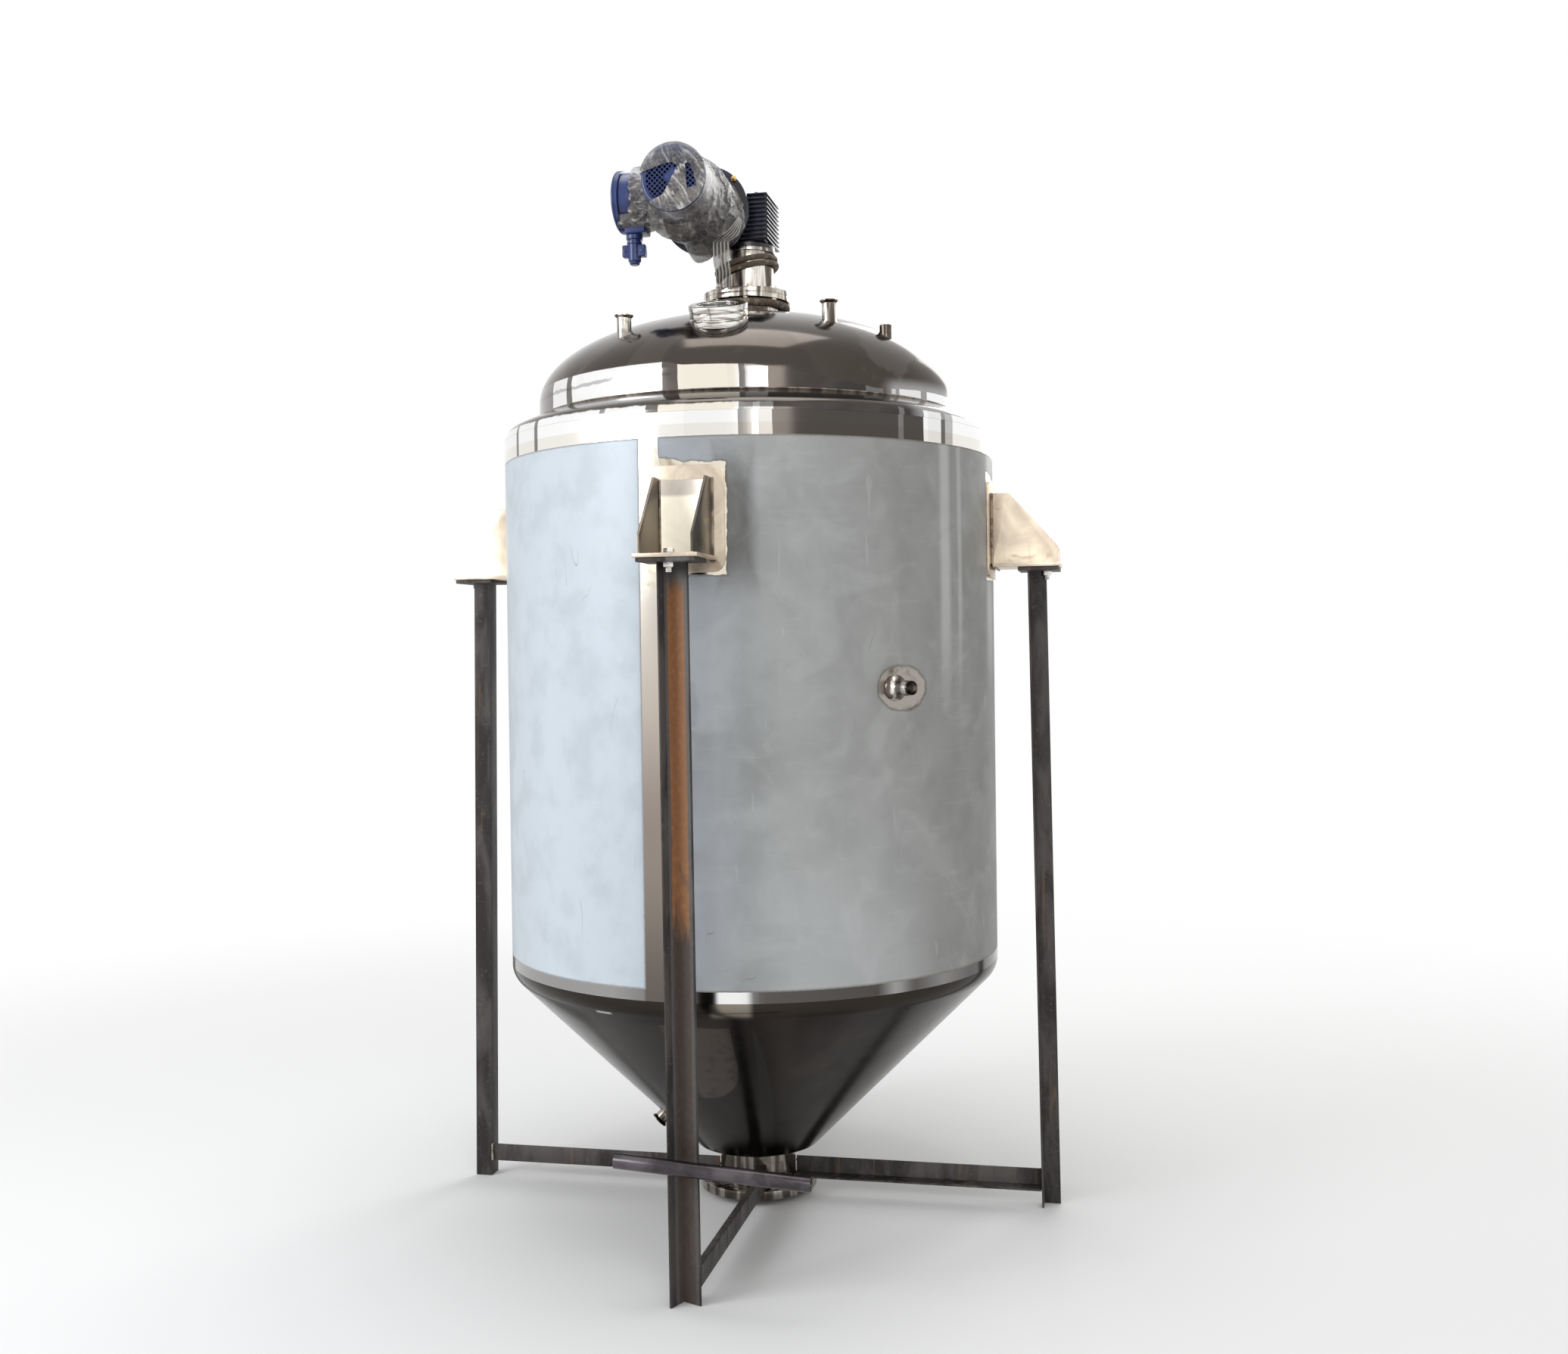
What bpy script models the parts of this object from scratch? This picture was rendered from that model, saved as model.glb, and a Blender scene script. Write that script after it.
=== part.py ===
"""Settling tank: jacketed vessel with a dished head, a cone bottom and a top drive.

Metres, +Z up. The origin is on the floor under the tank's axis. The front lug
is at -Y, the right lug at +X.
"""
import math

import bmesh
import bpy
from mathutils import Matrix, Vector

# Clearances and plate
GAP = 0.0003                 # between pieces that touch
SEGMENTS = 72                # facets round the large turned pieces
SMALL_SEGMENTS = 24          # facets round nozzles and rings
PLATE = 0.006                # vessel and bracket plate

# Vessel
SHELL_R = 0.700              # outside of the cladding
JACKET_T = 0.100             # from the cladding in to the outside of the vessel
WALL_HEIGHT = 1.478
WALL_SEAM = math.radians(-100.0)
SHOULDER_KNUCKLE = 0.035
SHOULDER_SLOPE = math.radians(29.0)
HEAD_FLANGE = 0.032          # straight part of the head
HEAD_DEPTH_SHARE = 5 / 12    # of the vessel's radius
CONE_HALF_ANGLE = math.radians(45.6)
CONE_KNUCKLE = 0.060
JACKET_END_WIDTH = 0.0605    # from the outlet neck to where the jacketed cone stops
JACKET_END_RISE = 0.1038     # from the outlet flange up to there

# Outlet
NECK_R = 0.1095
NECK_WALL = 0.004
OUTLET_FLANGE_WIDTH = 0.0605
OUTLET_FLANGE_Z = 0.022
OUTLET_FLANGE_T = 0.024
OUTLET_BOLT_WIDTH = 0.038    # from the neck to the bolt circle
OUTLET_BOLT_COUNT = 8
OUTLET_BOLT_HOLE_R = 0.011
JACKET_CLOSING_DROP = 0.025

# Lugs
LUG_RISE = 1.101             # underside of the base plate above the wall's bottom
LUG_BASE_T = 0.010
LUG_HEIGHT = 0.205
LUG_DEPTH = 0.190            # base plate, out from the cladding
LUG_BASE_HALF = 0.080
GUSSET_HALF = 0.066          # centre plane of each gusset
GUSSET_DEPTH = 0.185
GUSSET_NOSE = 0.045
GUSSET_TOP_DEPTH = 0.052
PAD_HALF = 0.100
PAD_BELOW = 0.029            # below the base plate
PAD_HEIGHT = 0.267
PAD_CORNER = 0.030

# Legs and braces
LEG_STANDOFF = 0.099         # heel of the angle iron at the top, from the cladding
LEG_IRON = 0.050
FRONT_LEG_IRON = 0.065
IRON_T = 0.005
LEG_SPLAY = 0.022            # how much further out the foot stands
LEG_PLATE_T = 0.010
LEG_PLATE_BACK = 0.024       # in from the heel
LEG_PLATE_DEPTH = 0.112
LEG_PLATE_HALF = 0.073
BRACE_IRON = 0.050
CROSS_PIPE_R = 0.0185
CROSS_PIPE_WALL = 0.003
CROSS_PIPE_LENGTH = 0.460
CROSS_PIPE_Z = 0.356
CROSS_PIPE_TILT = math.radians(4.8)
CROSS_PIPE_OFFSET = 0.070    # its middle, to the right of the leg

# Head fittings
AGITATOR_NECK_R = 0.100
AGITATOR_FLANGE_R = 0.125
AGITATOR_FLANGE_T = 0.014
AGITATOR_FLANGE_RISE = 0.058 # above the crown of the head
SIGHT_SHARE = 0.77           # of the vessel's radius, out from the axis
SIGHT_AZIMUTH = math.radians(-86.0)
SIGHT_TILT = math.radians(20.0)
SIGHT_RING_R = 0.0775
SIGHT_NECK_R = 0.066
SIGHT_PANE_R = 0.055
SIGHT_PANE_T = 0.010
FERRULE_R = 0.02525
FERRULE_T = 0.0045
TUBE_R = 0.019
TUBE_WALL = 0.002
LEFT_NOZZLE = (5 / 6, math.radians(-117.8), 0.0507)    # share of radius, azimuth, rise
RIGHT_NOZZLE = (11 / 15, math.radians(-47.0), 0.053)
SOCKET = (5 / 6, math.radians(-28.5), 0.0277)
NOZZLE_SINK = 0.080          # spare length that the head's shape trims off
SOCKET_R = 0.0165
SOCKET_WALL = 0.004

# Shell and cone nozzles
SIDE_NOZZLE_ANGLE = math.radians(-45.5)
SIDE_NOZZLE_RISE = 0.778     # above the wall's bottom
SIDE_NOZZLE_REACH = 0.070
SIDE_BOSS_R = 0.034
CONE_NOZZLE_ANGLE = math.radians(-165.0)
CONE_NOZZLE_RISE = 0.0872    # above the jacket's end
CONE_NOZZLE_REACH = 0.040

# Drive
LANTERN_R = 0.0775
LANTERN_HEIGHT = 0.125
WORM_OFFSET = 0.086          # motor axis from the tank's axis
GEARBOX_X = (-0.140, 0.081)
GEARBOX_HALF_Y = 0.084
GEARBOX_HEIGHT = 0.110
GEARBOX_FOOT = 0.040
FIN_DEPTH = 0.010
FIN_COUNT = 8
FIN_T = 0.0045
INPUT_BELL_R = 0.078         # between the gearbox and the input flange
INPUT_BELL_LENGTH = 0.040
INPUT_FLANGE_R = 0.125
INPUT_FLANGE_T = 0.018
MOTOR_R = 0.080
MOTOR_LENGTH = 0.250
MOTOR_FINS = 24
MOTOR_FIN_DEPTH = 0.007
FAN_COVER_R = 0.088
FAN_COVER_LENGTH = 0.080
FAN_COVER_WALL = 0.003
GRILLE_R = 0.074
GRILLE_PITCH = 0.0135
GRILLE_BAR = 0.0035
TERMINAL_Y = -0.272
TERMINAL_LID_R = 0.085
TERMINAL_LID_T = 0.022
TERMINAL_BODY_R = 0.078
TERMINAL_NECK_R = 0.050
TERMINAL_REACH = 0.231       # outer face of the lid from the motor's axis
GLAND_R = 0.018
GLAND_DROP = 0.150
FILM_WALL = 0.002

# Rope
ROPE_R = 0.012

# Worked out from the sizes above
VESSEL_R = SHELL_R - JACKET_T
HEAD_DEPTH = VESSEL_R * HEAD_DEPTH_SHARE
CONE_SLOPE = math.tan(CONE_HALF_ANGLE)
CONE_KNUCKLE_RUN = CONE_KNUCKLE * math.tan(CONE_HALF_ANGLE / 2)
OUTLET_FLANGE_R = NECK_R + OUTLET_FLANGE_WIDTH
OUTLET_BOLT_CIRCLE_R = NECK_R + OUTLET_BOLT_WIDTH
JACKET_END_R = NECK_R + JACKET_END_WIDTH
JACKET_END_Z = OUTLET_FLANGE_Z + OUTLET_FLANGE_T + JACKET_END_RISE
WALL_BOTTOM = JACKET_END_Z + (SHELL_R - JACKET_END_R) / CONE_SLOPE + CONE_KNUCKLE_RUN
WALL_TOP = WALL_BOTTOM + WALL_HEIGHT
LUG_UNDER_Z = WALL_BOTTOM + LUG_RISE
LUG_TOP_Z = LUG_UNDER_Z + LUG_HEIGHT
LUG_REACH = SHELL_R + LUG_DEPTH
GUSSET_REACH = SHELL_R + GUSSET_DEPTH
GUSSET_TOP_REACH = SHELL_R + GUSSET_TOP_DEPTH
PAD_BOTTOM = LUG_UNDER_Z - PAD_BELOW
PAD_TOP = PAD_BOTTOM + PAD_HEIGHT
LEG_HEEL_R = SHELL_R + LEG_STANDOFF
LEG_PLATE_INNER = LEG_HEEL_R - LEG_PLATE_BACK
LEG_PLATE_OUTER = LEG_PLATE_INNER + LEG_PLATE_DEPTH
SIDE_NOZZLE_Z = WALL_BOTTOM + SIDE_NOZZLE_RISE
CONE_NOZZLE_Z = JACKET_END_Z + CONE_NOZZLE_RISE
HEAD_BASE_Z = (
    WALL_TOP
    + SHOULDER_KNUCKLE * math.cos(SHOULDER_SLOPE)
    + (SHELL_R - SHOULDER_KNUCKLE * (1 - math.sin(SHOULDER_SLOPE)) - VESSEL_R) * math.tan(SHOULDER_SLOPE)
)
HEAD_TANGENT_Z = HEAD_BASE_Z + HEAD_FLANGE
AGITATOR_FLANGE_Z = HEAD_TANGENT_Z + HEAD_DEPTH + AGITATOR_FLANGE_RISE
BRACE_Z = OUTLET_FLANGE_Z + OUTLET_FLANGE_T + GAP
LEG_TOP_Z = LUG_UNDER_Z - GAP
LANTERN_Z = AGITATOR_FLANGE_Z + AGITATOR_FLANGE_T + GAP
GEARBOX_Z = LANTERN_Z + LANTERN_HEIGHT + GAP
GEARBOX_BODY_Z = GEARBOX_Z + GEARBOX_FOOT
MOTOR_Z = GEARBOX_BODY_Z + GEARBOX_HEIGHT / 2 - 0.005
INPUT_FLANGE_Y = -GEARBOX_HALF_Y - GAP
MOTOR_Y = INPUT_FLANGE_Y - INPUT_BELL_LENGTH - INPUT_FLANGE_T - GAP
FAN_COVER_Y = MOTOR_Y - MOTOR_LENGTH - GAP
SIDES = {
    "front": math.radians(-90.0),
    "right": 0.0,
    "rear": math.radians(90.0),
    "left": math.radians(180.0),
}


def clear_scene():
    for obj in list(bpy.data.objects):
        bpy.data.objects.remove(obj)


def new_collection(name):
    collection = bpy.data.collections.new(name)
    bpy.context.scene.collection.children.link(collection)
    return collection


clear_scene()
PARTS = new_collection("settling_tank")
CUTTERS = new_collection("cutters")


def make_material(name, color, roughness, metallic):
    material = bpy.data.materials.new(name)
    material.use_nodes = True
    shader = material.node_tree.nodes["Principled BSDF"]
    shader.inputs["Base Color"].default_value = (*color, 1.0)
    shader.inputs["Roughness"].default_value = roughness
    shader.inputs["Metallic"].default_value = metallic
    material.diffuse_color = (*color, 1.0)
    return material


POLISHED = make_material("polished_stainless", (0.62, 0.59, 0.55), 0.12, 1.0)
FILMED = make_material("filmed_stainless", (0.62, 0.66, 0.70), 0.45, 0.3)
MILL_STEEL = make_material("mill_scale_steel", (0.10, 0.09, 0.085), 0.6, 0.7)
BLUE = make_material("blue_paint", (0.02, 0.06, 0.28), 0.4, 0.0)
GLASS = make_material("sight_glass", (0.25, 0.27, 0.27), 0.05, 0.0)
FILM = make_material("stretch_film", (0.72, 0.70, 0.68), 0.3, 0.0)
ROPE = make_material("brown_rope", (0.12, 0.08, 0.05), 0.9, 0.0)


def finish(obj, material, collection=PARTS):
    """Link an object, give it its material and shade its round faces smooth."""
    collection.objects.link(obj)
    if obj.data.materials:
        obj.data.materials[0] = material
    else:
        obj.data.materials.append(material)
    if collection is CUTTERS:
        obj.hide_render = True
        obj.display_type = "WIRE"
    return obj


def smooth(mesh):
    mesh.shade_smooth()
    mesh.set_sharp_from_angle(angle=math.radians(35.0))


def evaluated_mesh(obj):
    """The mesh of an object with its modifiers, or of a curve, in world space."""
    bpy.context.view_layer.update()
    graph = bpy.context.evaluated_depsgraph_get()
    mesh = bpy.data.meshes.new_from_object(obj.evaluated_get(graph))
    mesh.transform(obj.matrix_world)
    return mesh


def weld(mesh):
    bm = bmesh.new()
    bm.from_mesh(mesh)
    bmesh.ops.remove_doubles(bm, verts=bm.verts, dist=0.00001)
    bm.to_mesh(mesh)
    bm.free()
    return mesh


def as_mesh_object(source, name):
    """A mesh object at the origin that takes the place of a curve or a modified object."""
    mesh = weld(evaluated_mesh(source))
    mesh.name = name
    bpy.data.objects.remove(source)
    return bpy.data.objects.new(name, mesh)


def turned_object(name, profile, segments):
    """Turn a profile of (radius, height) points about Z with a Screw modifier.

    A profile that starts and ends on the axis makes a full solid, any other
    one is closed and makes a ring. It runs down its outer side.
    """
    closed = profile[0][0] > 0 or profile[-1][0] > 0
    area = sum(
        a[0] * b[1] - b[0] * a[1]
        for a, b in zip(profile, profile[1:] + profile[:1])
    )
    if area > 0:
        profile = profile[::-1]
    mesh = bpy.data.meshes.new(name)
    edges = [(i, i + 1) for i in range(len(profile) - 1)]
    if closed:
        edges.append((len(profile) - 1, 0))
    mesh.from_pydata([(r, 0.0, z) for r, z in profile], edges, [])
    obj = bpy.data.objects.new(name, mesh)
    screw = obj.modifiers.new("Turn", "SCREW")
    screw.steps = segments
    screw.render_steps = segments
    screw.use_merge_vertices = True
    screw.merge_threshold = 0.00005
    return obj


def turned(name, profile, material, segments=SMALL_SEGMENTS, place=None, collection=PARTS):
    """A turned piece as a mesh, moved to its place."""
    blank = turned_object(name + "_blank", profile, segments)
    bpy.context.scene.collection.objects.link(blank)
    obj = as_mesh_object(blank, name)
    if place is not None:
        obj.data.transform(place)
    smooth(obj.data)
    return finish(obj, material, collection)


def block(name, low, high, material, collection=PARTS, place=None):
    """A box between two corners."""
    low, high = Vector(low), Vector(high)
    bm = bmesh.new()
    bmesh.ops.create_cube(bm, size=1.0)
    bmesh.ops.scale(bm, vec=high - low, verts=bm.verts)
    bmesh.ops.translate(bm, vec=(high + low) / 2, verts=bm.verts)
    mesh = bpy.data.meshes.new(name)
    bm.to_mesh(mesh)
    bm.free()
    if place is not None:
        mesh.transform(place)
    return finish(bpy.data.objects.new(name, mesh), material, collection)


def plate_outline(name, points, thickness, material, place, collection=PARTS):
    """A flat outline in its own XY plane, given a thickness along its Z."""
    curve = bpy.data.curves.new(name, "CURVE")
    curve.dimensions = "2D"
    curve.fill_mode = "BOTH"
    curve.extrude = thickness / 2
    spline = curve.splines.new("POLY")
    spline.points.add(len(points) - 1)
    for target, (x, y) in zip(spline.points, points):
        target.co = (x, y, 0.0, 1.0)
    spline.use_cyclic_u = True
    source = bpy.data.objects.new(name + "_outline", curve)
    bpy.context.scene.collection.objects.link(source)
    obj = as_mesh_object(source, name)
    obj.data.transform(place)
    return finish(obj, material, collection)


def combine(obj, other, operation):
    modifier = obj.modifiers.new(operation.title(), "BOOLEAN")
    modifier.operation = operation
    modifier.object = other
    modifier.solver = "EXACT"
    return obj


def fuse(obj, *others):
    for other in others:
        combine(obj, other, "UNION")
    return obj


def cut(obj, *others):
    for other in others:
        combine(obj, other, "DIFFERENCE")
    return obj


def arc_points(centre, radius, start, end, count):
    return [
        (
            centre[0] + radius * math.cos(start + (end - start) * i / count),
            centre[1] + radius * math.sin(start + (end - start) * i / count),
        )
        for i in range(count + 1)
    ]


def turn_about_axis(angle):
    return Matrix.Rotation(angle, 4, "Z")


def lay_up(height):
    """Lift a flat outline so that it is centred at a height."""
    return Matrix.Translation((0.0, 0.0, height))


# Vessel

def make_walls():
    """Four rolled quarters; their facets share one grid with the pads."""
    steps = SEGMENTS // 4
    names = ("wall_front", "wall_right", "wall_rear", "wall_left")
    for index, name in enumerate(names):
        start = WALL_SEAM + index * math.pi / 2
        end = start + math.pi / 2
        trim_out = GAP / 2 / SHELL_R
        trim_in = GAP / 2 / (VESSEL_R - PLATE)
        outer = arc_points((0, 0), SHELL_R, start, end, steps)
        inner = arc_points((0, 0), VESSEL_R - PLATE, start, end, steps)
        outer[0] = arc_points((0, 0), SHELL_R, start + trim_out, end, 1)[0]
        outer[-1] = arc_points((0, 0), SHELL_R, start, end - trim_out, 1)[-1]
        inner[0] = arc_points((0, 0), VESSEL_R - PLATE, start + trim_in, end, 1)[0]
        inner[-1] = arc_points((0, 0), VESSEL_R - PLATE, start, end - trim_in, 1)[-1]
        height = WALL_TOP - WALL_BOTTOM - 2 * GAP
        wall = plate_outline(
            name, outer + inner[::-1], height, FILMED, lay_up((WALL_TOP + WALL_BOTTOM) / 2)
        )
        smooth(wall.data)


def make_shoulder():
    """Knuckle and sloping ring from the cladding in to the head's joint."""
    centre = (SHELL_R - SHOULDER_KNUCKLE, WALL_TOP)
    knuckle = arc_points(centre, SHOULDER_KNUCKLE, 0.0, math.pi / 2 - SHOULDER_SLOPE, 5)
    profile = [(VESSEL_R - PLATE, WALL_TOP)] + knuckle
    profile += [(VESSEL_R, HEAD_BASE_Z), (VESSEL_R - PLATE, HEAD_BASE_Z)]
    turned("shoulder_ring", profile, POLISHED, SEGMENTS)


def head_curve(radius, depth, count):
    """Half of an ellipse, from its rim to its crown."""
    return [
        (
            radius * math.cos(math.pi / 2 * i / count),
            HEAD_TANGENT_Z + depth * math.sin(math.pi / 2 * i / count),
        )
        for i in range(count + 1)
    ]


def make_head():
    outer = head_curve(VESSEL_R, HEAD_DEPTH, 11)
    inner = head_curve(VESSEL_R - PLATE, HEAD_DEPTH - PLATE, 11)
    outer[-1] = (0.0, outer[-1][1])
    inner[-1] = (0.0, inner[-1][1])
    base = HEAD_BASE_Z + GAP
    profile = outer[::-1] + [(VESSEL_R, base), (VESSEL_R - PLATE, base)] + inner
    turned("dished_head", profile, POLISHED, SEGMENTS)


def head_cutter():
    """The head's outside grown by the gap, which shapes the feet of the fittings."""
    outer = head_curve(VESSEL_R + GAP, HEAD_DEPTH + GAP, 11)
    outer[-1] = (0.0, outer[-1][1])
    profile = outer[::-1] + [(VESSEL_R + GAP, HEAD_BASE_Z), (0.0, HEAD_BASE_Z)]
    return turned("head_cutter", profile, POLISHED, SEGMENTS, collection=CUTTERS)


def head_height(radius):
    return HEAD_TANGENT_Z + HEAD_DEPTH * math.sqrt(1 - (radius / VESSEL_R) ** 2)


def cone_outer_radius(height):
    """Outside of the jacketed cone, below its knuckle."""
    return SHELL_R - (WALL_BOTTOM - CONE_KNUCKLE_RUN - height) * CONE_SLOPE


def cone_outer_height(radius):
    return WALL_BOTTOM - CONE_KNUCKLE_RUN - (SHELL_R - radius) / CONE_SLOPE


def make_cone():
    """Knuckle, cone and closing ring outside, the vessel's own cone inside."""
    top = WALL_BOTTOM - GAP
    centre = (SHELL_R - CONE_KNUCKLE, top)
    knuckle = arc_points(centre, CONE_KNUCKLE, 0.0, -CONE_HALF_ANGLE, 5)
    end_z = cone_outer_height(JACKET_END_R)
    hole = NECK_R + GAP
    inner_z = top - (VESSEL_R - PLATE - hole) / CONE_SLOPE
    profile = knuckle + [
        (JACKET_END_R, end_z),
        (hole, end_z - JACKET_CLOSING_DROP),
        (hole, inner_z),
        (VESSEL_R - PLATE, top),
    ]
    turned("cone_bottom", profile, POLISHED, SEGMENTS)
    return inner_z


def make_outlet(neck_top):
    bore = NECK_R - NECK_WALL
    face = OUTLET_FLANGE_Z + 0.002
    turned(
        "outlet_neck",
        [(bore, neck_top), (NECK_R, neck_top), (NECK_R, face), (bore, face)],
        POLISHED,
        36,
    )
    low, high = OUTLET_FLANGE_Z, OUTLET_FLANGE_Z + OUTLET_FLANGE_T
    hole = NECK_R + GAP
    flange = turned(
        "outlet_flange",
        [(hole, high), (OUTLET_FLANGE_R, high), (OUTLET_FLANGE_R, low), (hole, low)],
        POLISHED,
        36,
    )
    drills = []
    for index in range(OUTLET_BOLT_COUNT):
        a = 2 * math.pi * (index + 0.5) / OUTLET_BOLT_COUNT
        drills.append(
            turned(
                f"outlet_drill_{index}",
                [
                    (0.0, high + 0.005),
                    (OUTLET_BOLT_HOLE_R, high + 0.005),
                    (OUTLET_BOLT_HOLE_R, low - 0.005),
                    (0.0, low - 0.005),
                ],
                POLISHED,
                24,
                turn_about_axis(a) @ Matrix.Translation((OUTLET_BOLT_CIRCLE_R, 0.0, 0.0)),
                CUTTERS,
            )
        )
    cut(flange, *drills)


# Head fittings

def polar_place(radius, angle, height, tilt=0.0):
    """Stand a turned piece at a place on the head, tilted outward."""
    return (
        turn_about_axis(angle)
        @ Matrix.Translation((radius, 0.0, height))
        @ Matrix.Rotation(tilt, 4, "Y")
    )


def ferrule_profile(bottom, top, tube_r=TUBE_R, lip_r=FERRULE_R):
    bore = tube_r - TUBE_WALL
    return [
        (bore, top),
        (lip_r, top),
        (lip_r, top - FERRULE_T * 0.6),
        (tube_r + 0.002, top - FERRULE_T * 1.4),
        (tube_r, top - FERRULE_T * 2),
        (tube_r, bottom),
        (bore, bottom),
    ]


def make_head_nozzles(cutter):
    sink = NOZZLE_SINK
    for name, (share, angle, rise) in (("nozzle_left", LEFT_NOZZLE), ("nozzle_right", RIGHT_NOZZLE)):
        radius = share * VESSEL_R
        place = polar_place(radius, angle, head_height(radius) + rise)
        nozzle = turned(name, ferrule_profile(-sink, 0.0), POLISHED, place=place)
        cut(nozzle, cutter)
    share, angle, rise = SOCKET
    radius = share * VESSEL_R
    top = head_height(radius) + rise
    bore = SOCKET_R - SOCKET_WALL
    socket = turned(
        "threaded_socket",
        [(bore, 0), (SOCKET_R, 0), (SOCKET_R, -sink), (bore, -sink)],
        POLISHED,
        place=polar_place(radius, angle, top),
    )
    cut(socket, cutter)


def make_sight_glass(cutter):
    radius, angle = SIGHT_SHARE * VESSEL_R, SIGHT_AZIMUTH
    place = polar_place(radius, angle, head_height(radius), SIGHT_TILT)
    body_top, lip = 0.040, 0.014
    bore = SIGHT_PANE_R - 0.003
    body = turned(
        "sight_glass_body",
        [
            (bore, body_top),
            (SIGHT_RING_R - 0.001, body_top),
            (SIGHT_RING_R - 0.001, body_top - 0.010),
            (SIGHT_NECK_R, body_top - 0.018),
            (SIGHT_NECK_R, -0.060),
            (bore, -0.060),
        ],
        POLISHED,
        36,
        place,
    )
    cut(body, cutter)
    seat = body_top + GAP
    turned(
        "sight_glass_ring",
        [
            (SIGHT_PANE_R - 0.004, seat + SIGHT_PANE_T + GAP),
            (SIGHT_PANE_R - 0.004, seat + lip + 0.004),
            (SIGHT_RING_R - 0.002, seat + lip + 0.004),
            (SIGHT_RING_R, seat + lip + 0.002),
            (SIGHT_RING_R, seat + 0.004),
            (SIGHT_RING_R - 0.005, seat + 0.003),
            (SIGHT_RING_R - 0.005, seat),
            (SIGHT_PANE_R + GAP, seat),
            (SIGHT_PANE_R + GAP, seat + SIGHT_PANE_T + GAP),
        ],
        POLISHED,
        36,
        place,
    )
    turned(
        "sight_glass_pane",
        [
            (0.0, seat + SIGHT_PANE_T),
            (SIGHT_PANE_R, seat + SIGHT_PANE_T),
            (SIGHT_PANE_R, seat),
            (0.0, seat),
        ],
        GLASS,
        36,
        place,
    )


def make_agitator_nozzle(cutter):
    high = AGITATOR_FLANGE_Z + AGITATOR_FLANGE_T
    low = head_height(AGITATOR_NECK_R) - 0.030
    nozzle = turned(
        "agitator_nozzle",
        [
            (0.0, high),
            (AGITATOR_FLANGE_R, high),
            (AGITATOR_FLANGE_R, AGITATOR_FLANGE_Z),
            (AGITATOR_NECK_R, AGITATOR_FLANGE_Z),
            (AGITATOR_NECK_R, low),
            (0.0, low),
        ],
        POLISHED,
        36,
    )
    cut(nozzle, cutter)


# Nozzles on the shell and the cone

def outward(angle, radius, height, pitch=0.0):
    """Lay a turned piece's axis along the outward direction at an angle round the tank."""
    return (
        turn_about_axis(angle)
        @ Matrix.Translation((radius, 0.0, height))
        @ Matrix.Rotation(math.pi / 2 + pitch, 4, "Y")
    )


def make_side_nozzle():
    bore = TUBE_R - TUBE_WALL
    reach = SIDE_NOZZLE_REACH
    turned(
        "side_nozzle",
        [
            (bore, reach),
            (TUBE_R, reach),
            (TUBE_R, 0.026),
            (TUBE_R + 0.004, 0.018),
            (SIDE_BOSS_R - 0.004, 0.008),
            (SIDE_BOSS_R, 0.0),
            (bore, 0.0),
        ],
        POLISHED,
        place=outward(SIDE_NOZZLE_ANGLE, SHELL_R + GAP, SIDE_NOZZLE_Z),
    )


def make_cone_nozzle():
    """A small ferrule standing square on the cone."""
    surface = cone_outer_radius(CONE_NOZZLE_Z) + GAP
    turned(
        "cone_nozzle",
        ferrule_profile(0.0, CONE_NOZZLE_REACH),
        POLISHED,
        place=outward(CONE_NOZZLE_ANGLE, surface, CONE_NOZZLE_Z, CONE_HALF_ANGLE),
    )


# Lugs

def make_pad(name, angle):
    """A rolled plate with rounded corners, on the wall's own grid of facets."""
    half = math.asin(PAD_HALF / SHELL_R)
    step = 2 * math.pi / SEGMENTS
    inner_steps = [k * step for k in range(-4, 5) if abs(k * step) < half]
    angles = [-half] + inner_steps + [half]
    inner = SHELL_R + GAP
    outer = inner + PLATE
    points = [(outer * math.cos(a), outer * math.sin(a)) for a in angles]
    points += [(inner * math.cos(a), inner * math.sin(a)) for a in reversed(angles)]
    pad = plate_outline(
        name,
        points,
        PAD_TOP - PAD_BOTTOM,
        POLISHED,
        turn_about_axis(angle) @ lay_up((PAD_TOP + PAD_BOTTOM) / 2),
    )
    corner = PAD_CORNER
    high = (PAD_TOP - PAD_BOTTOM) / 2
    outline = []
    for index, (sx, sy) in enumerate(((1, 1), (-1, 1), (-1, -1), (1, -1))):
        centre = (sx * (high - corner), sy * (PAD_HALF - corner))
        start = index * math.pi / 2
        outline += arc_points(centre, corner, start, start + math.pi / 2, 4)
    stand = Matrix.Rotation(-math.pi / 2, 4, "Y")
    frame = plate_outline(
        name + "_outline_cutter",
        outline,
        SHELL_R / 2,
        POLISHED,
        turn_about_axis(angle) @ Matrix.Translation((SHELL_R, 0, (PAD_TOP + PAD_BOTTOM) / 2)) @ stand,
        CUTTERS,
    )
    combine(pad, frame, "INTERSECT")


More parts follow.
